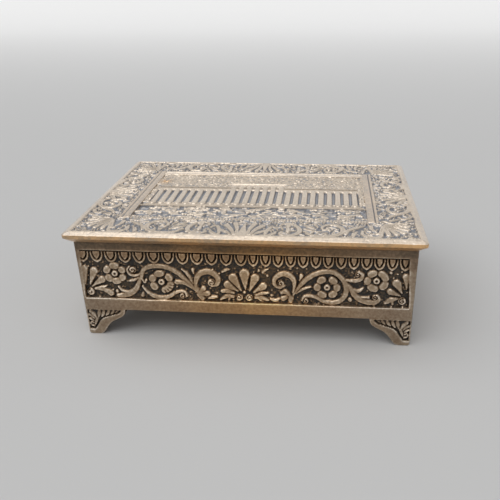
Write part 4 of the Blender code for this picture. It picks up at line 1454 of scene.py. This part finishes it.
    def _foot_face(self, side: int) -> bpy.types.Object:
        """Carves the outer face of one half foot.

        Args:
            side: -1 for the left end, 1 for the right.
        Returns:
            The face as an open sheet.
        """
        widths, heights = self.foot.edge()
        half = self.length / 2
        columns = self._columns()
        top = columns[columns <= -half + self.foot.spread + 1e-4] + half
        share = top / self.foot.spread
        s = share[None, :] * widths[:, None]
        z = np.repeat(heights[:, None], len(share), axis=1)
        x = side * (half - s)
        level = self._foot_level(s, x, z)
        slope = np.gradient(widths, np.maximum.accumulate(heights + 1e-6 * np.arange(len(heights))))
        edge = (widths[:, None] - s) / np.sqrt(1 + slope[:, None] ** 2)
        fall = rounding(np.minimum(np.minimum(edge, s), z + 0.06), self.edge_radius)
        depth = np.maximum(self.foot_sink - level + fall, fall)
        order = slice(None) if side < 0 else slice(None, None, -1)
        row = self._bottom_row[: len(share)] if side < 0 else self._bottom_row[-len(share):][::-1]
        blend = ease((z - 10.4) / 0.9, 1.0)
        depth = depth * (1 - blend) + row[None, :] * blend
        lift = rounding(s, self.toe_radius) * np.clip(1 - z / 3.0, 0, 1)
        points = np.stack([x, depth, z + lift], axis=-1)[:, order]
        wear = self.rubbing.tone(self.foot_sink - depth, self.foot_sink)
        wear = (wear + self.edge_shine * hump(np.minimum(s, np.maximum(edge, 0)), 0.4))[:, order]
        warm = self._warmth(x)[:, order]
        return sheet(f"{self.name}_foot", len(share), len(heights), points, wear, warm)


@dataclass
class Lid:
    """The cast lid: bevelled edge, carved border, frame bars and a sunk picture."""

    half_x: float
    half_y: float
    underside: float
    top: float
    hinge_y: float
    hinge_z: float
    seed: int = 71
    nose_drop: float = 0.9
    nose_height: float = 1.5
    bevel: float = 2.0
    margin: float = 0.6
    corner: float = 1.4
    side_undercut: float = 2.3
    front_undercut: float = 2.9
    back_undercut: float = 0.8
    border_sink: float = 0.95
    picture_sink: float = 1.3
    frame_x: float = 49.1
    frame_y: float = 28.2
    side_bar: float = 4.0
    back_bar: float = 4.0
    front_bar: float = 1.6
    lip: float = 9.0
    lip_wear: float = 0.42
    lip_warmth: float = 0.6
    small_leaves: int = 3200
    # Painted shade: how much darker the bevel is made, to tone down the lamp's reflection on it.
    bevel_painted_shade: float = 0.04
    # Painted shade: how much the nose is darkened; the nose is also tinted golden.
    nose_painted_shade: float = 0.06
    bar_dull: float = 0.07
    bar_warmth: float = 0.1
    stain_at: Point = (-42.2, 15.0)
    stain_size: Point = (2.0, 2.6)
    border_rubbing: Rubbing = Rubbing(0.14, 0.43, 0.3, 0.36, 0.1, 0.22)
    picture_rubbing: Rubbing = Rubbing(0.14, 0.43, 0.26, 0.34, 0.1, 0.5)
    hollow: float = 2.1
    step: float = 0.308
    picture_step: float = 0.25
    groove_at: float = 2.85
    back_groove: float = 2.2
    hinge_half: float = 31.3
    hinge_radius: float = 1.8
    _rim: tuple[float, float, float] = field(init=False, repr=False)

    @property
    def opening(self) -> tuple[float, float, float]:
        """Half width, front and back of the picture opening."""
        return self.frame_x - self.side_bar, -self.frame_y + self.front_bar, self.frame_y - self.back_bar

    def build_border(self) -> bpy.types.Object:
        """Models the lid round its picture.

        Returns:
            The finished mesh, in its place.
        """
        obj = self._top_face()
        open_x, open_low, open_high = (value * MM for value in self.opening)
        activate(obj)
        bpy.ops.object.mode_set(mode="EDIT")
        bpy.ops.mesh.select_all(action="DESELECT")
        edit = bmesh.from_edit_mesh(obj.data)
        for face in edit.faces:
            middle = face.calc_center_median()
            face.select_set(abs(middle.x) < open_x and open_low < middle.y < open_high)
        bmesh.update_edit_mesh(obj.data)
        bpy.ops.mesh.delete(type="FACE")
        self._close_below(obj)
        bpy.ops.mesh.select_all(action="SELECT")
        bpy.ops.mesh.normals_make_consistent(inside=False)
        bpy.ops.object.mode_set(mode="OBJECT")
        self._cut_channel(obj)
        self._dull_lip(obj)
        activate(obj)
        bpy.ops.object.shade_smooth_by_angle(angle=CARVED_ANGLE)
        obj.name = "lid_border"
        return obj

    def _lines(self) -> tuple[Array, Array]:
        """Lines along x and along y, fine at the edges, with lines at the picture opening.

        Returns:
            The lines along x, and those along y.
        """
        open_x, open_low, open_high = self.opening
        edges = (0.03, 0.08, 0.16, 0.28, 0.45)
        found = []
        for half, low, high in ((self.half_x, -open_x, open_x), (self.half_y, open_low, open_high)):
            marks = (-half, low, high, half)
            parts = [lines(first, last, self.step) for first, last in zip(marks, marks[1:])]
            parts.append(np.array([side * (half - e) for e in edges for side in (-1, 1)]))
            found.append(np.unique(np.round(np.concatenate(parts), 5)))
        return found[0], found[1]

    def _round_corners(self, a: Array, b: Array, radius: float) -> tuple[Array, Array]:
        """Draws the corners of a rectangular grid in to round ones.

        Args:
            a: x of each point.
            b: y of each point.
            radius: radius of the corners.
        Returns:
            The new x and y.
        """
        du = np.maximum(np.abs(a) - (self.half_x - radius), 0)
        dv = np.maximum(np.abs(b) - (self.half_y - radius), 0)
        shrink = np.maximum(du, dv) / np.maximum(np.hypot(du, dv), 1e-9)
        both = (du > 0) & (dv > 0)
        x = np.where(both, np.sign(a) * (self.half_x - radius + du * shrink), a)
        y = np.where(both, np.sign(b) * (self.half_y - radius + dv * shrink), b)
        return x, y

    def _top_face(self) -> bpy.types.Object:
        """Shapes the lid's whole upper face, with the border carved into it.

        Returns:
            The face as an open sheet.
        """
        xs, ys = self._lines()
        a, b = np.meshgrid(xs, ys)
        x, y = self._round_corners(a, b, self.corner)
        relief = Relief(x, y)
        self._draw_border(relief)
        pitted = 0.06 * grain(x, y, 0.55, self.seed + 2) + 0.05 * grain(x, y, 1.4, self.seed + 3)
        height = np.minimum(relief.height + pitted, self.border_sink - 0.04)
        inset = np.minimum(self.half_x - np.abs(a), self.half_y - np.abs(b))
        wander = 0.1 * grain(x, y, 8.0, self.seed + 4)
        frame_gap = np.maximum(np.abs(x) - self.frame_x, np.abs(y) - self.frame_y)
        inside = ease(np.minimum(inset - self.bevel - self.margin, frame_gap) + wander, 0.4)
        skin = 0.03 * grain(x, y, 6.0, self.seed) - 0.03
        level = (self.border_sink + skin) * (1 - inside) + height * inside
        level -= self._frame_mouldings(x, y) * (frame_gap < 0)
        z = self.top - self.border_sink + level - self._bevel_drop(inset, x, y)
        points = np.stack([x, y, np.minimum(z, self.top)], axis=-1)
        wear = self.border_rubbing.tone(level, self.border_sink)
        # Painted shade: the bevel is darkened.
        wear -= self.bevel_painted_shade * ease(self.bevel - inset, 0.4)
        # Painted shade: the nose is darkened; it is also tinted golden.
        nose = 1 - ease(inset - 0.02, 0.1)
        on_bar = (frame_gap < 0) * (np.abs(x) > self.opening[0])
        wear -= self.nose_painted_shade * nose + self.bar_dull * on_bar
        warm = nose + self.bar_warmth * on_bar
        return sheet("lid_border", len(xs), len(ys), points, wear, warm)

    def _bevel_drop(self, inset: Array, x: Array, y: Array) -> Array:
        """How far the bevel falls below the lid's top.

        Args:
            inset: distance in from the lid's edge.
            x: first coordinates.
            y: second coordinates.
        Returns:
            The drop at each point, with its soft edges and small nicks.
        """
        soft = 0.25
        past = self.bevel - inset
        eased = np.where(np.abs(past) < soft, (past + soft) ** 2 / (4 * soft), np.maximum(past, 0))
        nicks = np.clip(grain(x, y, 0.9, self.seed + 5) - 0.62, 0, 1) * 0.5 * (inset < self.bevel)
        dents = 0.03 * grain(x, y, 2.6, self.seed + 6) * ease(past, 0.6)
        return eased * self.nose_drop / self.bevel + rounding(inset, 0.22) + nicks + dents

    def _frame_mouldings(self, x: Array, y: Array) -> Array:
        """How far the frame falls below the lid's top, with round side bars and beads in front.

        Args:
            x: first coordinates.
            y: second coordinates.
        Returns:
            The fall at each point.
        """
        open_x, open_low, open_high = self.opening
        out = np.abs(x) - open_x
        bar = 0.16 * ((out - self.groove_at / 2) / (self.groove_at / 2)) ** 2 * (out < self.groove_at)
        bar += 0.55 * hump(out - self.groove_at, 0.26)
        bar += rounding(np.minimum(out, self.side_bar - out), 0.4)
        on_bar = out > 0
        bead = np.abs(((x / 1.15) % 1) - 0.5) * 2
        front = 0.45 * bead**2 + 0.1
        back = 0.62 * hump(y - open_high - self.back_groove, 0.45)
        row = np.where(y < open_low, front, np.where(y > open_high, back, 0))
        edge = np.minimum(np.abs(y - open_low), np.abs(y - open_high))
        outer = self.frame_y - np.abs(y)
        return np.where(on_bar, bar, row + rounding(edge, 0.3)) + rounding(outer, 0.3)

    def _draw_border(self, relief: Relief) -> None:
        """Raises the scrolls on the four strips and the leaf at each corner.

        Args:
            relief: the face that it is carved on.
        """
        edge = self.bevel + self.margin
        for side in (-1, 1):
            for half in (-1, 1):
                along = self._strip_place(side, half, edge)
                draw_strip(relief, PALMETTE_SPRIGS + LONG_STRIP_SPRIGS, along)
                up = self._side_place(side, half, edge)
                draw_strip(relief, PALMETTE_SPRIGS + SHORT_STRIP_SPRIGS, up)
                self._corner_leaf(relief, side, half)
        strips = (np.abs(relief.u) > self.frame_x) | (np.abs(relief.v) > self.frame_y)
        relief.fill(strips, self.small_leaves, np.random.default_rng(self.seed + 9))

    def _strip_place(self, side: int, half: int, edge: float) -> Callable[[Point], Point]:
        """Places strip points along the front (-1) or back (1)."""
        return lambda p: (half * p[0], side * (self.half_y - edge - p[1]))

    def _side_place(self, side: int, half: int, edge: float) -> Callable[[Point], Point]:
        """Places strip points along the left (-1) or right (1) side."""
        return lambda p: (side * (self.half_x - edge - p[1] * 0.92), half * p[0])

    def _corner_leaf(self, relief: Relief, side: int, half: int) -> None:
        """Raises a leaf of seven fingers that opens from the frame to the lid's corner.

        Args:
            relief: the face that it is carved on.
            side: -1 for the front, 1 for the back.
            half: -1 for the left, 1 for the right.
        """
        root = (self.frame_x + 0.9, self.frame_y + 0.9)
        for k in range(7):
            angle = math.radians(2 + 14.5 * k)
            reach = 12.2 - 0.45 * abs(k - 3) ** 1.3
            bend = 0.16 * (k - 3)
            path = []
            for r in (1.2, reach * 0.5, reach * 0.86):
                turned = angle + bend * r / reach * 0.3
                path.append((root[0] + r * math.cos(turned), root[1] + r * math.sin(turned)))
            placed = [(half * u, side * v) for u, v in path]
            relief.stroke(placed, (0.45, 0.95, 1.2), 0.84, 0.4)
            relief.groove(placed, (0.12, 0.2, 0.12), 0.35)

    def _close_below(self, obj: bpy.types.Object) -> None:
        """In edit mode, turns the upper face into a solid: edge, flat lip, hollow and the opening's sides.

        Args:
            obj: the upper face.
        """
        bpy.ops.mesh.select_all(action="SELECT")
        bpy.ops.mesh.region_to_loop()
        edit = bmesh.from_edit_mesh(obj.data)
        open_x = self.opening[0] * MM + 1e-5
        for edge in edit.edges:
            inner = all(abs(v.co.x) < open_x and abs(v.co.y) < self.frame_y * MM for v in edge.verts)
            if edge.select and inner:
                edge.select_set(False)
        bmesh.update_edit_mesh(obj.data)
        self._rim = self._inner_rim(0, 0, 0)
        for rim, z in self._edge_profile():
            extrude_loop(lambda p: self._draw_to(p, rim, z))
            self._rim = rim
        bpy.ops.mesh.select_all(action="DESELECT")
        edit = bmesh.from_edit_mesh(obj.data)
        ceiling = (self.underside + self.hollow) * MM
        for edge in edit.edges:
            if edge.is_boundary and edge.verts[0].co.z > ceiling + 1e-5:
                edge.select_set(True)
        bmesh.update_edit_mesh(obj.data)
        extrude_loop(lambda p: Vector((p.x, p.y, ceiling)))
        bpy.ops.mesh.select_all(action="DESELECT")
        bpy.ops.mesh.select_non_manifold(
            extend=False, use_wire=False, use_multi_face=False, use_non_contiguous=False, use_verts=False)
        bpy.ops.mesh.fill(use_beauty=False)

    def _inner_rim(self, side: float, front: float, back: float) -> tuple[float, float, float]:
        """Half width, front and back of the lid's outline drawn in by these distances."""
        return self.half_x - side, front - self.half_y, self.half_y - back

    def _edge_profile(self) -> list[tuple[tuple[float, float, float], float]]:
        """The loops below the bevel, from the nose to the hollow.

        Returns:
            (outline, height) pairs.
        """
        low = self.top - self.nose_drop - self.nose_height
        nose = ((0.0, low + 0.25), (0.05, low + 0.1), (0.16, low))
        loops = [(self._inner_rim(inset, inset, inset), z) for inset, z in nose]
        middle = (low + self.underside) / 2 + 0.05
        cove = ((0.5, middle), (0.93, self.underside + 0.16), (1.0, self.underside))
        for share, z in cove:
            cuts = (share * cut for cut in (self.side_undercut, self.front_undercut, self.back_undercut))
            loops.append((self._inner_rim(*cuts), z))
        loops.append((self._inner_rim(self.lip, self.lip, self.lip), self.underside))
        wall = self.lip + 0.05
        loops.append((self._inner_rim(wall, wall, wall), self.underside + self.hollow))
        return loops

    def _draw_to(self, point: Vector, rim: tuple[float, float, float], z: float) -> Vector:
        """Maps a point of the last outline onto the next one.

        Args:
            point: the point, in metres.
            rim: the next outline.
            z: its height.
        Returns:
            The new place, in metres.
        """
        half, low, high = self._rim
        x = point.x * rim[0] / half
        share = (point.y / MM - low) / (high - low)
        return Vector((x, (rim[1] + share * (rim[2] - rim[1])) * MM, z * MM))

    def _cut_channel(self, obj: bpy.types.Object) -> None:
        """Cuts the round channel for the hinge into the underside.

        Args:
            obj: the lid.
        """
        deselect()
        bpy.ops.mesh.primitive_cylinder_add(
            vertices=48, radius=self.hinge_radius * MM, depth=2 * self.hinge_half * MM,
            location=(0, self.hinge_y * MM, self.hinge_z * MM), rotation=(0, math.pi / 2, 0))
        cutter = bpy.context.object
        activate(obj)
        cut = obj.modifiers.new("channel", "BOOLEAN")
        cut.operation = "DIFFERENCE"
        cut.object = cutter
        bpy.ops.object.modifier_apply(modifier=cut.name)
        bpy.data.objects.remove(cutter, do_unlink=True)

    def _dull_lip(self, obj: bpy.types.Object) -> None:
        """Makes the flat lip round the hollow browner and less rubbed than the nose.

        Args:
            obj: the lid.
        """
        flat = coordinates(obj.data)[:, 2] / MM < self.underside + 0.01
        for name, value in (("relief", self.lip_wear), ("warm", self.lip_warmth)):
            values = np.empty(len(flat), np.float32)
            obj.data.attributes[name].data.foreach_get("value", values)
            values[flat] = value
            set_values(obj.data, name, values)

    def build_picture(self) -> bpy.types.Object:
        """Models the picture as a tile that fills the opening.

        Returns:
            The finished mesh, in its place.
        """
        half, low, high = self.opening
        seat = 0.012
        xs = lines(-half + seat, half - seat, self.picture_step)
        ys = lines(low + seat, high - seat, self.picture_step)
        x, y = np.meshgrid(xs, ys)
        relief = Relief(x, y)
        Colonnade(half, low).draw(relief)
        rough = 0.05 * grain(x, y, 0.5, self.seed + 7) + 0.05 * grain(x, y, 1.3, self.seed + 8)
        level = np.clip(relief.height + rough, 0, self.picture_sink - 0.08)
        z = self.top - self.picture_sink + level
        wear = self.picture_rubbing.tone(level, self.picture_sink)
        (along, across), (wide, deep) = self.stain_at, self.stain_size
        stain = hump(x - along, wide) * hump(y - across, deep)
        obj = sheet("lid_picture", len(xs), len(ys), np.stack([x, y, z], axis=-1), wear, stain)
        activate(obj)
        bpy.ops.object.mode_set(mode="EDIT")
        bpy.ops.mesh.select_all(action="SELECT")
        bpy.ops.mesh.region_to_loop()
        floor = (self.underside + self.hollow) * MM
        extrude_loop(lambda p: Vector((p.x, p.y, floor)))
        bpy.ops.mesh.edge_face_add()
        bpy.ops.mesh.select_all(action="SELECT")
        bpy.ops.mesh.normals_make_consistent(inside=False)
        bpy.ops.object.mode_set(mode="OBJECT")
        bpy.ops.object.shade_smooth_by_angle(angle=CARVED_ANGLE)
        return obj


@dataclass
class Hinge:
    """The barrel hinge: turned knuckles on the pin."""

    y: float
    z: float
    bore: float = 0.84
    radius: float = 1.5
    edge: float = 0.22
    steps: int = 48

    def build_knuckle(self, node: str) -> bpy.types.Object:
        """Turns one knuckle with rounded rims.

        Args:
            node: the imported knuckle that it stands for.
        Returns:
            The finished mesh, in its place.
        """
        low, high = node_box(node)
        x0, x1 = low[0], high[0]
        inner, outer, soft = self.radius - self.edge, self.radius, self.edge * 0.3
        profile = ((x0, self.bore), (x0, inner), (x0 + soft, outer - soft), (x0 + self.edge, outer),
                   (x1 - self.edge, outer), (x1 - soft, outer - soft), (x1, inner), (x1, self.bore))
        deselect()
        bpy.ops.mesh.primitive_circle_add(vertices=len(profile), radius=1.0)
        obj = bpy.context.object
        place_points(obj.data, np.array([(x, self.y, self.z + r) for x, r in profile]))
        bpy.ops.object.mode_set(mode="EDIT")
        bpy.ops.mesh.select_all(action="SELECT")
        centre = (0, self.y * MM, self.z * MM)
        bpy.ops.mesh.spin(steps=self.steps, angle=math.tau, center=centre, axis=(1, 0, 0))
        bpy.ops.mesh.select_all(action="SELECT")
        bpy.ops.mesh.remove_doubles(threshold=1e-6)
        bpy.ops.mesh.normals_make_consistent(inside=False)
        bpy.ops.object.mode_set(mode="OBJECT")
        bpy.ops.object.shade_smooth_by_angle(angle=TURNED_ANGLE)
        obj.name = node.replace("hinge_knuckle", "turned_knuckle")
        return obj


@dataclass
class Ledge:
    """The cast ledge inside the walls that carries the floor plate."""

    half_x: float
    half_y: float
    low: float = 11.8
    high: float = 13.3
    reach: float = 2.0
    seat: float = 0.02
    chamfer: float = 0.3

    def build(self) -> bpy.types.Object:
        """Models the ledge as one bevelled ring.

        Returns:
            The finished mesh, in its place.
        """
        deselect()
        bpy.ops.mesh.primitive_plane_add(size=2.0)
        obj = bpy.context.object
        corners = coordinates(obj.data)
        outer = np.array((self.half_x - self.seat, self.half_y - self.seat))
        place_points(obj.data, np.column_stack([np.sign(corners[:, :2]) * outer, np.full(4, self.low)]))
        bpy.ops.object.mode_set(mode="EDIT")
        bpy.ops.mesh.select_all(action="SELECT")
        bpy.ops.mesh.inset(thickness=self.reach * MM)
        bpy.ops.mesh.delete(type="FACE")
        bpy.ops.mesh.select_all(action="SELECT")
        rise = (0, 0, (self.high - self.low) * MM)
        bpy.ops.mesh.extrude_region_move(TRANSFORM_OT_translate={"value": rise})
        bpy.ops.mesh.select_all(action="DESELECT")
        edit = bmesh.from_edit_mesh(obj.data)
        inner = (self.half_x - self.reach) * MM
        for edge in edit.edges:
            first, second = (v.co for v in edge.verts)
            level = abs(first.z - second.z) < 1e-6
            edge.select_set(level and max(abs(first.x), abs(second.x)) < inner + 1e-5)
        bmesh.update_edit_mesh(obj.data)
        bpy.ops.mesh.bevel(offset=self.chamfer * MM, segments=2)
        bpy.ops.mesh.select_all(action="SELECT")
        bpy.ops.mesh.normals_make_consistent(inside=False)
        bpy.ops.object.mode_set(mode="OBJECT")
        set_values(obj.data, "relief", np.full(len(obj.data.vertices), 0.5))
        bpy.ops.object.shade_smooth_by_angle(angle=TURNED_ANGLE)
        obj.name = "floor_ledge"
        return obj


@dataclass
class Studio:
    """A pale floor that sweeps up behind, soft lamps, and the camera."""

    pale: Colour = (0.62, 0.615, 0.605)
    dim: Colour = (0.22, 0.218, 0.215)
    eye: tuple[float, float, float] = (29.9, -224.05, 126.76)
    overhead: float = 1.5
    softness: float = 70.0
    ambient: float = 0.45
    backdrop: float = 0.42
    yaw: float = -5.25
    pitch: float = 25.67
    roll: float = -0.71
    focal_pixels: float = 570.95
    centre_pixel: Point = (278.5, 251.0)
    picture_pixels: float = 500.0
    sensor: float = 36.0

    def build(self) -> None:
        """Sets the stage, the lamps, the world and the camera."""
        self._floor()
        self._lamp("overhead_light", (-0.30, -0.22, 1.0), self.overhead)
        world = bpy.data.worlds.new("studio")
        world.use_nodes = True
        shade = world.node_tree.nodes["Background"]
        shade.inputs["Color"].default_value = (0.95, 0.97, 1.0, 1)
        shade.inputs["Strength"].default_value = self.ambient
        bpy.context.scene.world = world
        bpy.context.scene.view_settings.view_transform = "Standard"
        self._camera()

    def _floor(self) -> None:
        """A plane whose far edge is extruded up in a smooth sweep."""
        deselect()
        bpy.ops.mesh.primitive_plane_add(size=5.0, location=(0, -1.2, 0))
        floor = bpy.context.object
        floor.name = "floor_sweep"
        bpy.ops.object.transform_apply(location=True, rotation=True, scale=True)
        bpy.ops.object.mode_set(mode="EDIT")
        bpy.ops.mesh.select_all(action="DESELECT")
        edit = bmesh.from_edit_mesh(floor.data)
        far = max(v.co.y for v in edit.verts)
        for edge in edit.edges:
            edge.select_set(all(v.co.y > far - 0.001 for v in edge.verts))
        bmesh.update_edit_mesh(floor.data)
        radius = 0.9
        for k in range(1, 17):
            angle = math.radians(90 * k / 16)
            y, z = far + radius * math.sin(angle), radius * (1 - math.cos(angle))
            extrude_loop(lambda p: Vector((p.x, y, z)))
        extrude_loop(lambda p: Vector((p.x, p.y, 3.0)))
        bpy.ops.object.mode_set(mode="OBJECT")
        bpy.ops.object.shade_smooth_by_angle(angle=math.radians(60))
        floor.data.materials.append(self._paper())

    def _paper(self) -> bpy.types.Material:
        """Pale paper, dimmer where it only throws light back on the box.

        Returns:
            The material.
        """
        nodes = Nodes("pale_paper")
        path = nodes.add("ShaderNodeLightPath")
        seen = nodes.math("MAXIMUM", path.outputs["Is Camera Ray"], path.outputs["Is Glossy Ray"])
        seen = nodes.math("MAXIMUM", seen, path.outputs["Is Transmission Ray"])
        mix = nodes.add("ShaderNodeMix", data_type="RGBA")
        nodes.link(seen, mix.inputs["Factor"])
        mix.inputs["A"].default_value = (*self.dim, 1)
        mix.inputs["B"].default_value = (*self.pale, 1)
        nodes.link(mix.outputs["Result"], nodes.shader.inputs["Base Color"])
        nodes.shader.inputs["Roughness"].default_value = 0.9
        place = nodes.add("ShaderNodeTexCoord").outputs["Object"]
        split = nodes.add("ShaderNodeSeparateXYZ")
        nodes.link(place, split.inputs["Vector"])
        far = nodes.add("ShaderNodeMapRange", interpolation_type="SMOOTHSTEP")
        nodes.link(split.outputs["Y"], far.inputs["Value"])
        far.inputs["From Min"].default_value = 0.1
        far.inputs["From Max"].default_value = 2.0
        far.inputs["To Max"].default_value = self.backdrop
        nodes.shader.inputs["Emission Color"].default_value = (1, 1, 1, 1)
        glow = nodes.math("MULTIPLY", seen, far.outputs["Result"])
        nodes.link(glow, nodes.shader.inputs["Emission Strength"])
        return nodes.material

    def _lamp(self, name: str, place: tuple[float, float, float], strength: float) -> None:
        """A wide soft light from one direction.

        Args:
            name: the lamp's name.
            place: where it comes from.
            strength: its strength in watts per square metre.
        """
        deselect()
        bpy.ops.object.light_add(type="SUN", location=place)
        lamp = bpy.context.object
        lamp.name = name
        lamp.data.energy = strength
        lamp.data.angle = math.radians(self.softness)
        lamp.rotation_euler = (-Vector(place)).to_track_quat("-Z", "Y").to_euler()

    def _camera(self) -> None:
        """The camera, set as the photograph's was."""
        yaw, pitch, roll = (math.radians(a) for a in (self.yaw, self.pitch, self.roll))
        ahead = Vector((math.sin(yaw) * math.cos(pitch), math.cos(yaw) * math.cos(pitch), -math.sin(pitch)))
        right = Vector((math.cos(yaw), -math.sin(yaw), 0))
        up = right.cross(ahead)
        across = right * math.cos(roll) + up * math.sin(roll)
        above = up * math.cos(roll) - right * math.sin(roll)
        turn = Matrix((across, above, -ahead)).transposed()
        data = bpy.data.cameras.new("camera")
        camera = bpy.data.objects.new("camera", data)
        bpy.context.collection.objects.link(camera)
        camera.matrix_world = Matrix.Translation(Vector(self.eye) * MM) @ turn.to_4x4()
        data.sensor_width = self.sensor
        data.lens = self.focal_pixels / self.picture_pixels * self.sensor
        data.shift_x = (self.picture_pixels / 2 - self.centre_pixel[0]) / self.picture_pixels
        data.shift_y = (self.centre_pixel[1] - self.picture_pixels / 2) / self.picture_pixels
        data.clip_start = 0.005
        bpy.context.scene.camera = camera


def build_walls(brass: bpy.types.Material) -> None:
    """Builds the four walls and ties them to the box body.

    Args:
        brass: their finish.
    """
    _, rim = node_box("front_panel")
    left, _ = node_box("left_panel")
    front, _ = node_box("front_panel")
    length, depth = -2 * left[0], -2 * front[1]
    foot = FootShape(height=11.3)
    even = (1.05, 1.35)
    long, short = FriezeKind.LONG, FriezeKind.SHORT
    quarter = math.pi / 2
    walls = (
        Wall("wall_front", "front_panel", length, 0.0, long, 3, rim[2], foot),
        Wall("wall_right", "right_panel", depth, quarter, short, 23, rim[2], foot, right_border=even),
        Wall("wall_back", "back_panel", length, math.pi, long, 43, rim[2], foot, hinge_half=31.3),
        Wall("wall_left", "left_panel", depth, -quarter, short, 63, rim[2], foot, right_border=even),
    )
    for wall in walls:
        finish_piece(wall.build(), "box_body", "cast_brass", brass, wall.node)
    inside = walls[0].thickness
    ledge = Ledge(length / 2 - inside, depth / 2 - inside)
    finish_piece(ledge.build(), "box_body", "cast_brass", brass)


def build_lid(brass: bpy.types.Material, hinge: Hinge) -> None:
    """Builds the lid and its picture.

    Args:
        brass: their finish.
        hinge: the hinge that it turns on.
    """
    low, high = node_box("lid_plate")
    lid = Lid(high[0], high[1], low[2], high[2], hinge.y, hinge.z)
    finish_piece(lid.build_border(), "lid", "cast_brass", brass, "lid_plate")
    finish_piece(lid.build_picture(), "lid", "cast_brass", brass)


def build_hinge() -> Hinge:
    """Builds the knuckles, those of the lid by turns with those of the box.

    Returns:
        The hinge, with the place of its axis.
    """
    low, high = node_box("hinge_pin")
    hinge = Hinge((low[1] + high[1]) / 2, (low[2] + high[2]) / 2)
    finish = DrawnBrass("drawn_tube").make()
    for k in range(1, 6):
        node = f"hinge_knuckle_{k}"
        body = "box_body" if k % 2 else "lid"
        finish_piece(hinge.build_knuckle(node), body, "hinge_brass", finish, node)
    return hinge


def dress_nodes() -> None:
    """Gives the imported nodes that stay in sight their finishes."""
    drawn = DrawnBrass().make()
    boards_x = BareCedar("cedar_along_x", (0.05, 1.0, 1.0)).make()
    boards_y = BareCedar("cedar_along_y", (1.0, 0.05, 1.0)).make()
    for name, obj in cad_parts.items():
        if name.startswith(("hinge_pin", "floor", "foot_gusset")):
            finish = drawn
        elif name in ("liner_left", "liner_right"):
            finish = boards_y
        elif name.startswith(("liner", "lid_liner")):
            finish = boards_x
        else:
            continue
        obj.data.materials.clear()
        obj.data.materials.append(finish)
        LOG.info("%s: %s", name, finish.name)


def main() -> None:
    """Builds every sub-assembly in order."""
    logging.basicConfig(level=logging.INFO, format="%(message)s")
    build_walls(AgedBrass("wall_brass").make())
    # The lid's brass is a paler, bluer copy of the walls' brass: painted sheen and painted reflection of the
    # pale backdrop, with bluish hollows.
    lid_brass_painted_sheen = AgedBrass(
        "lid_brass_painted_sheen", hollow=(0.158, 0.164, 0.190), shade=(0.320, 0.300, 0.288), flat=(0.705, 0.582, 0.450),
        worn=(0.875, 0.755, 0.615), bright=(0.97, 0.91, 0.83), tint=(1.26, 0.90, 0.48),
        film_index=1.8, film=0.8)
    build_lid(lid_brass_painted_sheen.make(), build_hinge())
    dress_nodes()
    Studio().build()


if __name__ == "__main__":
    main()
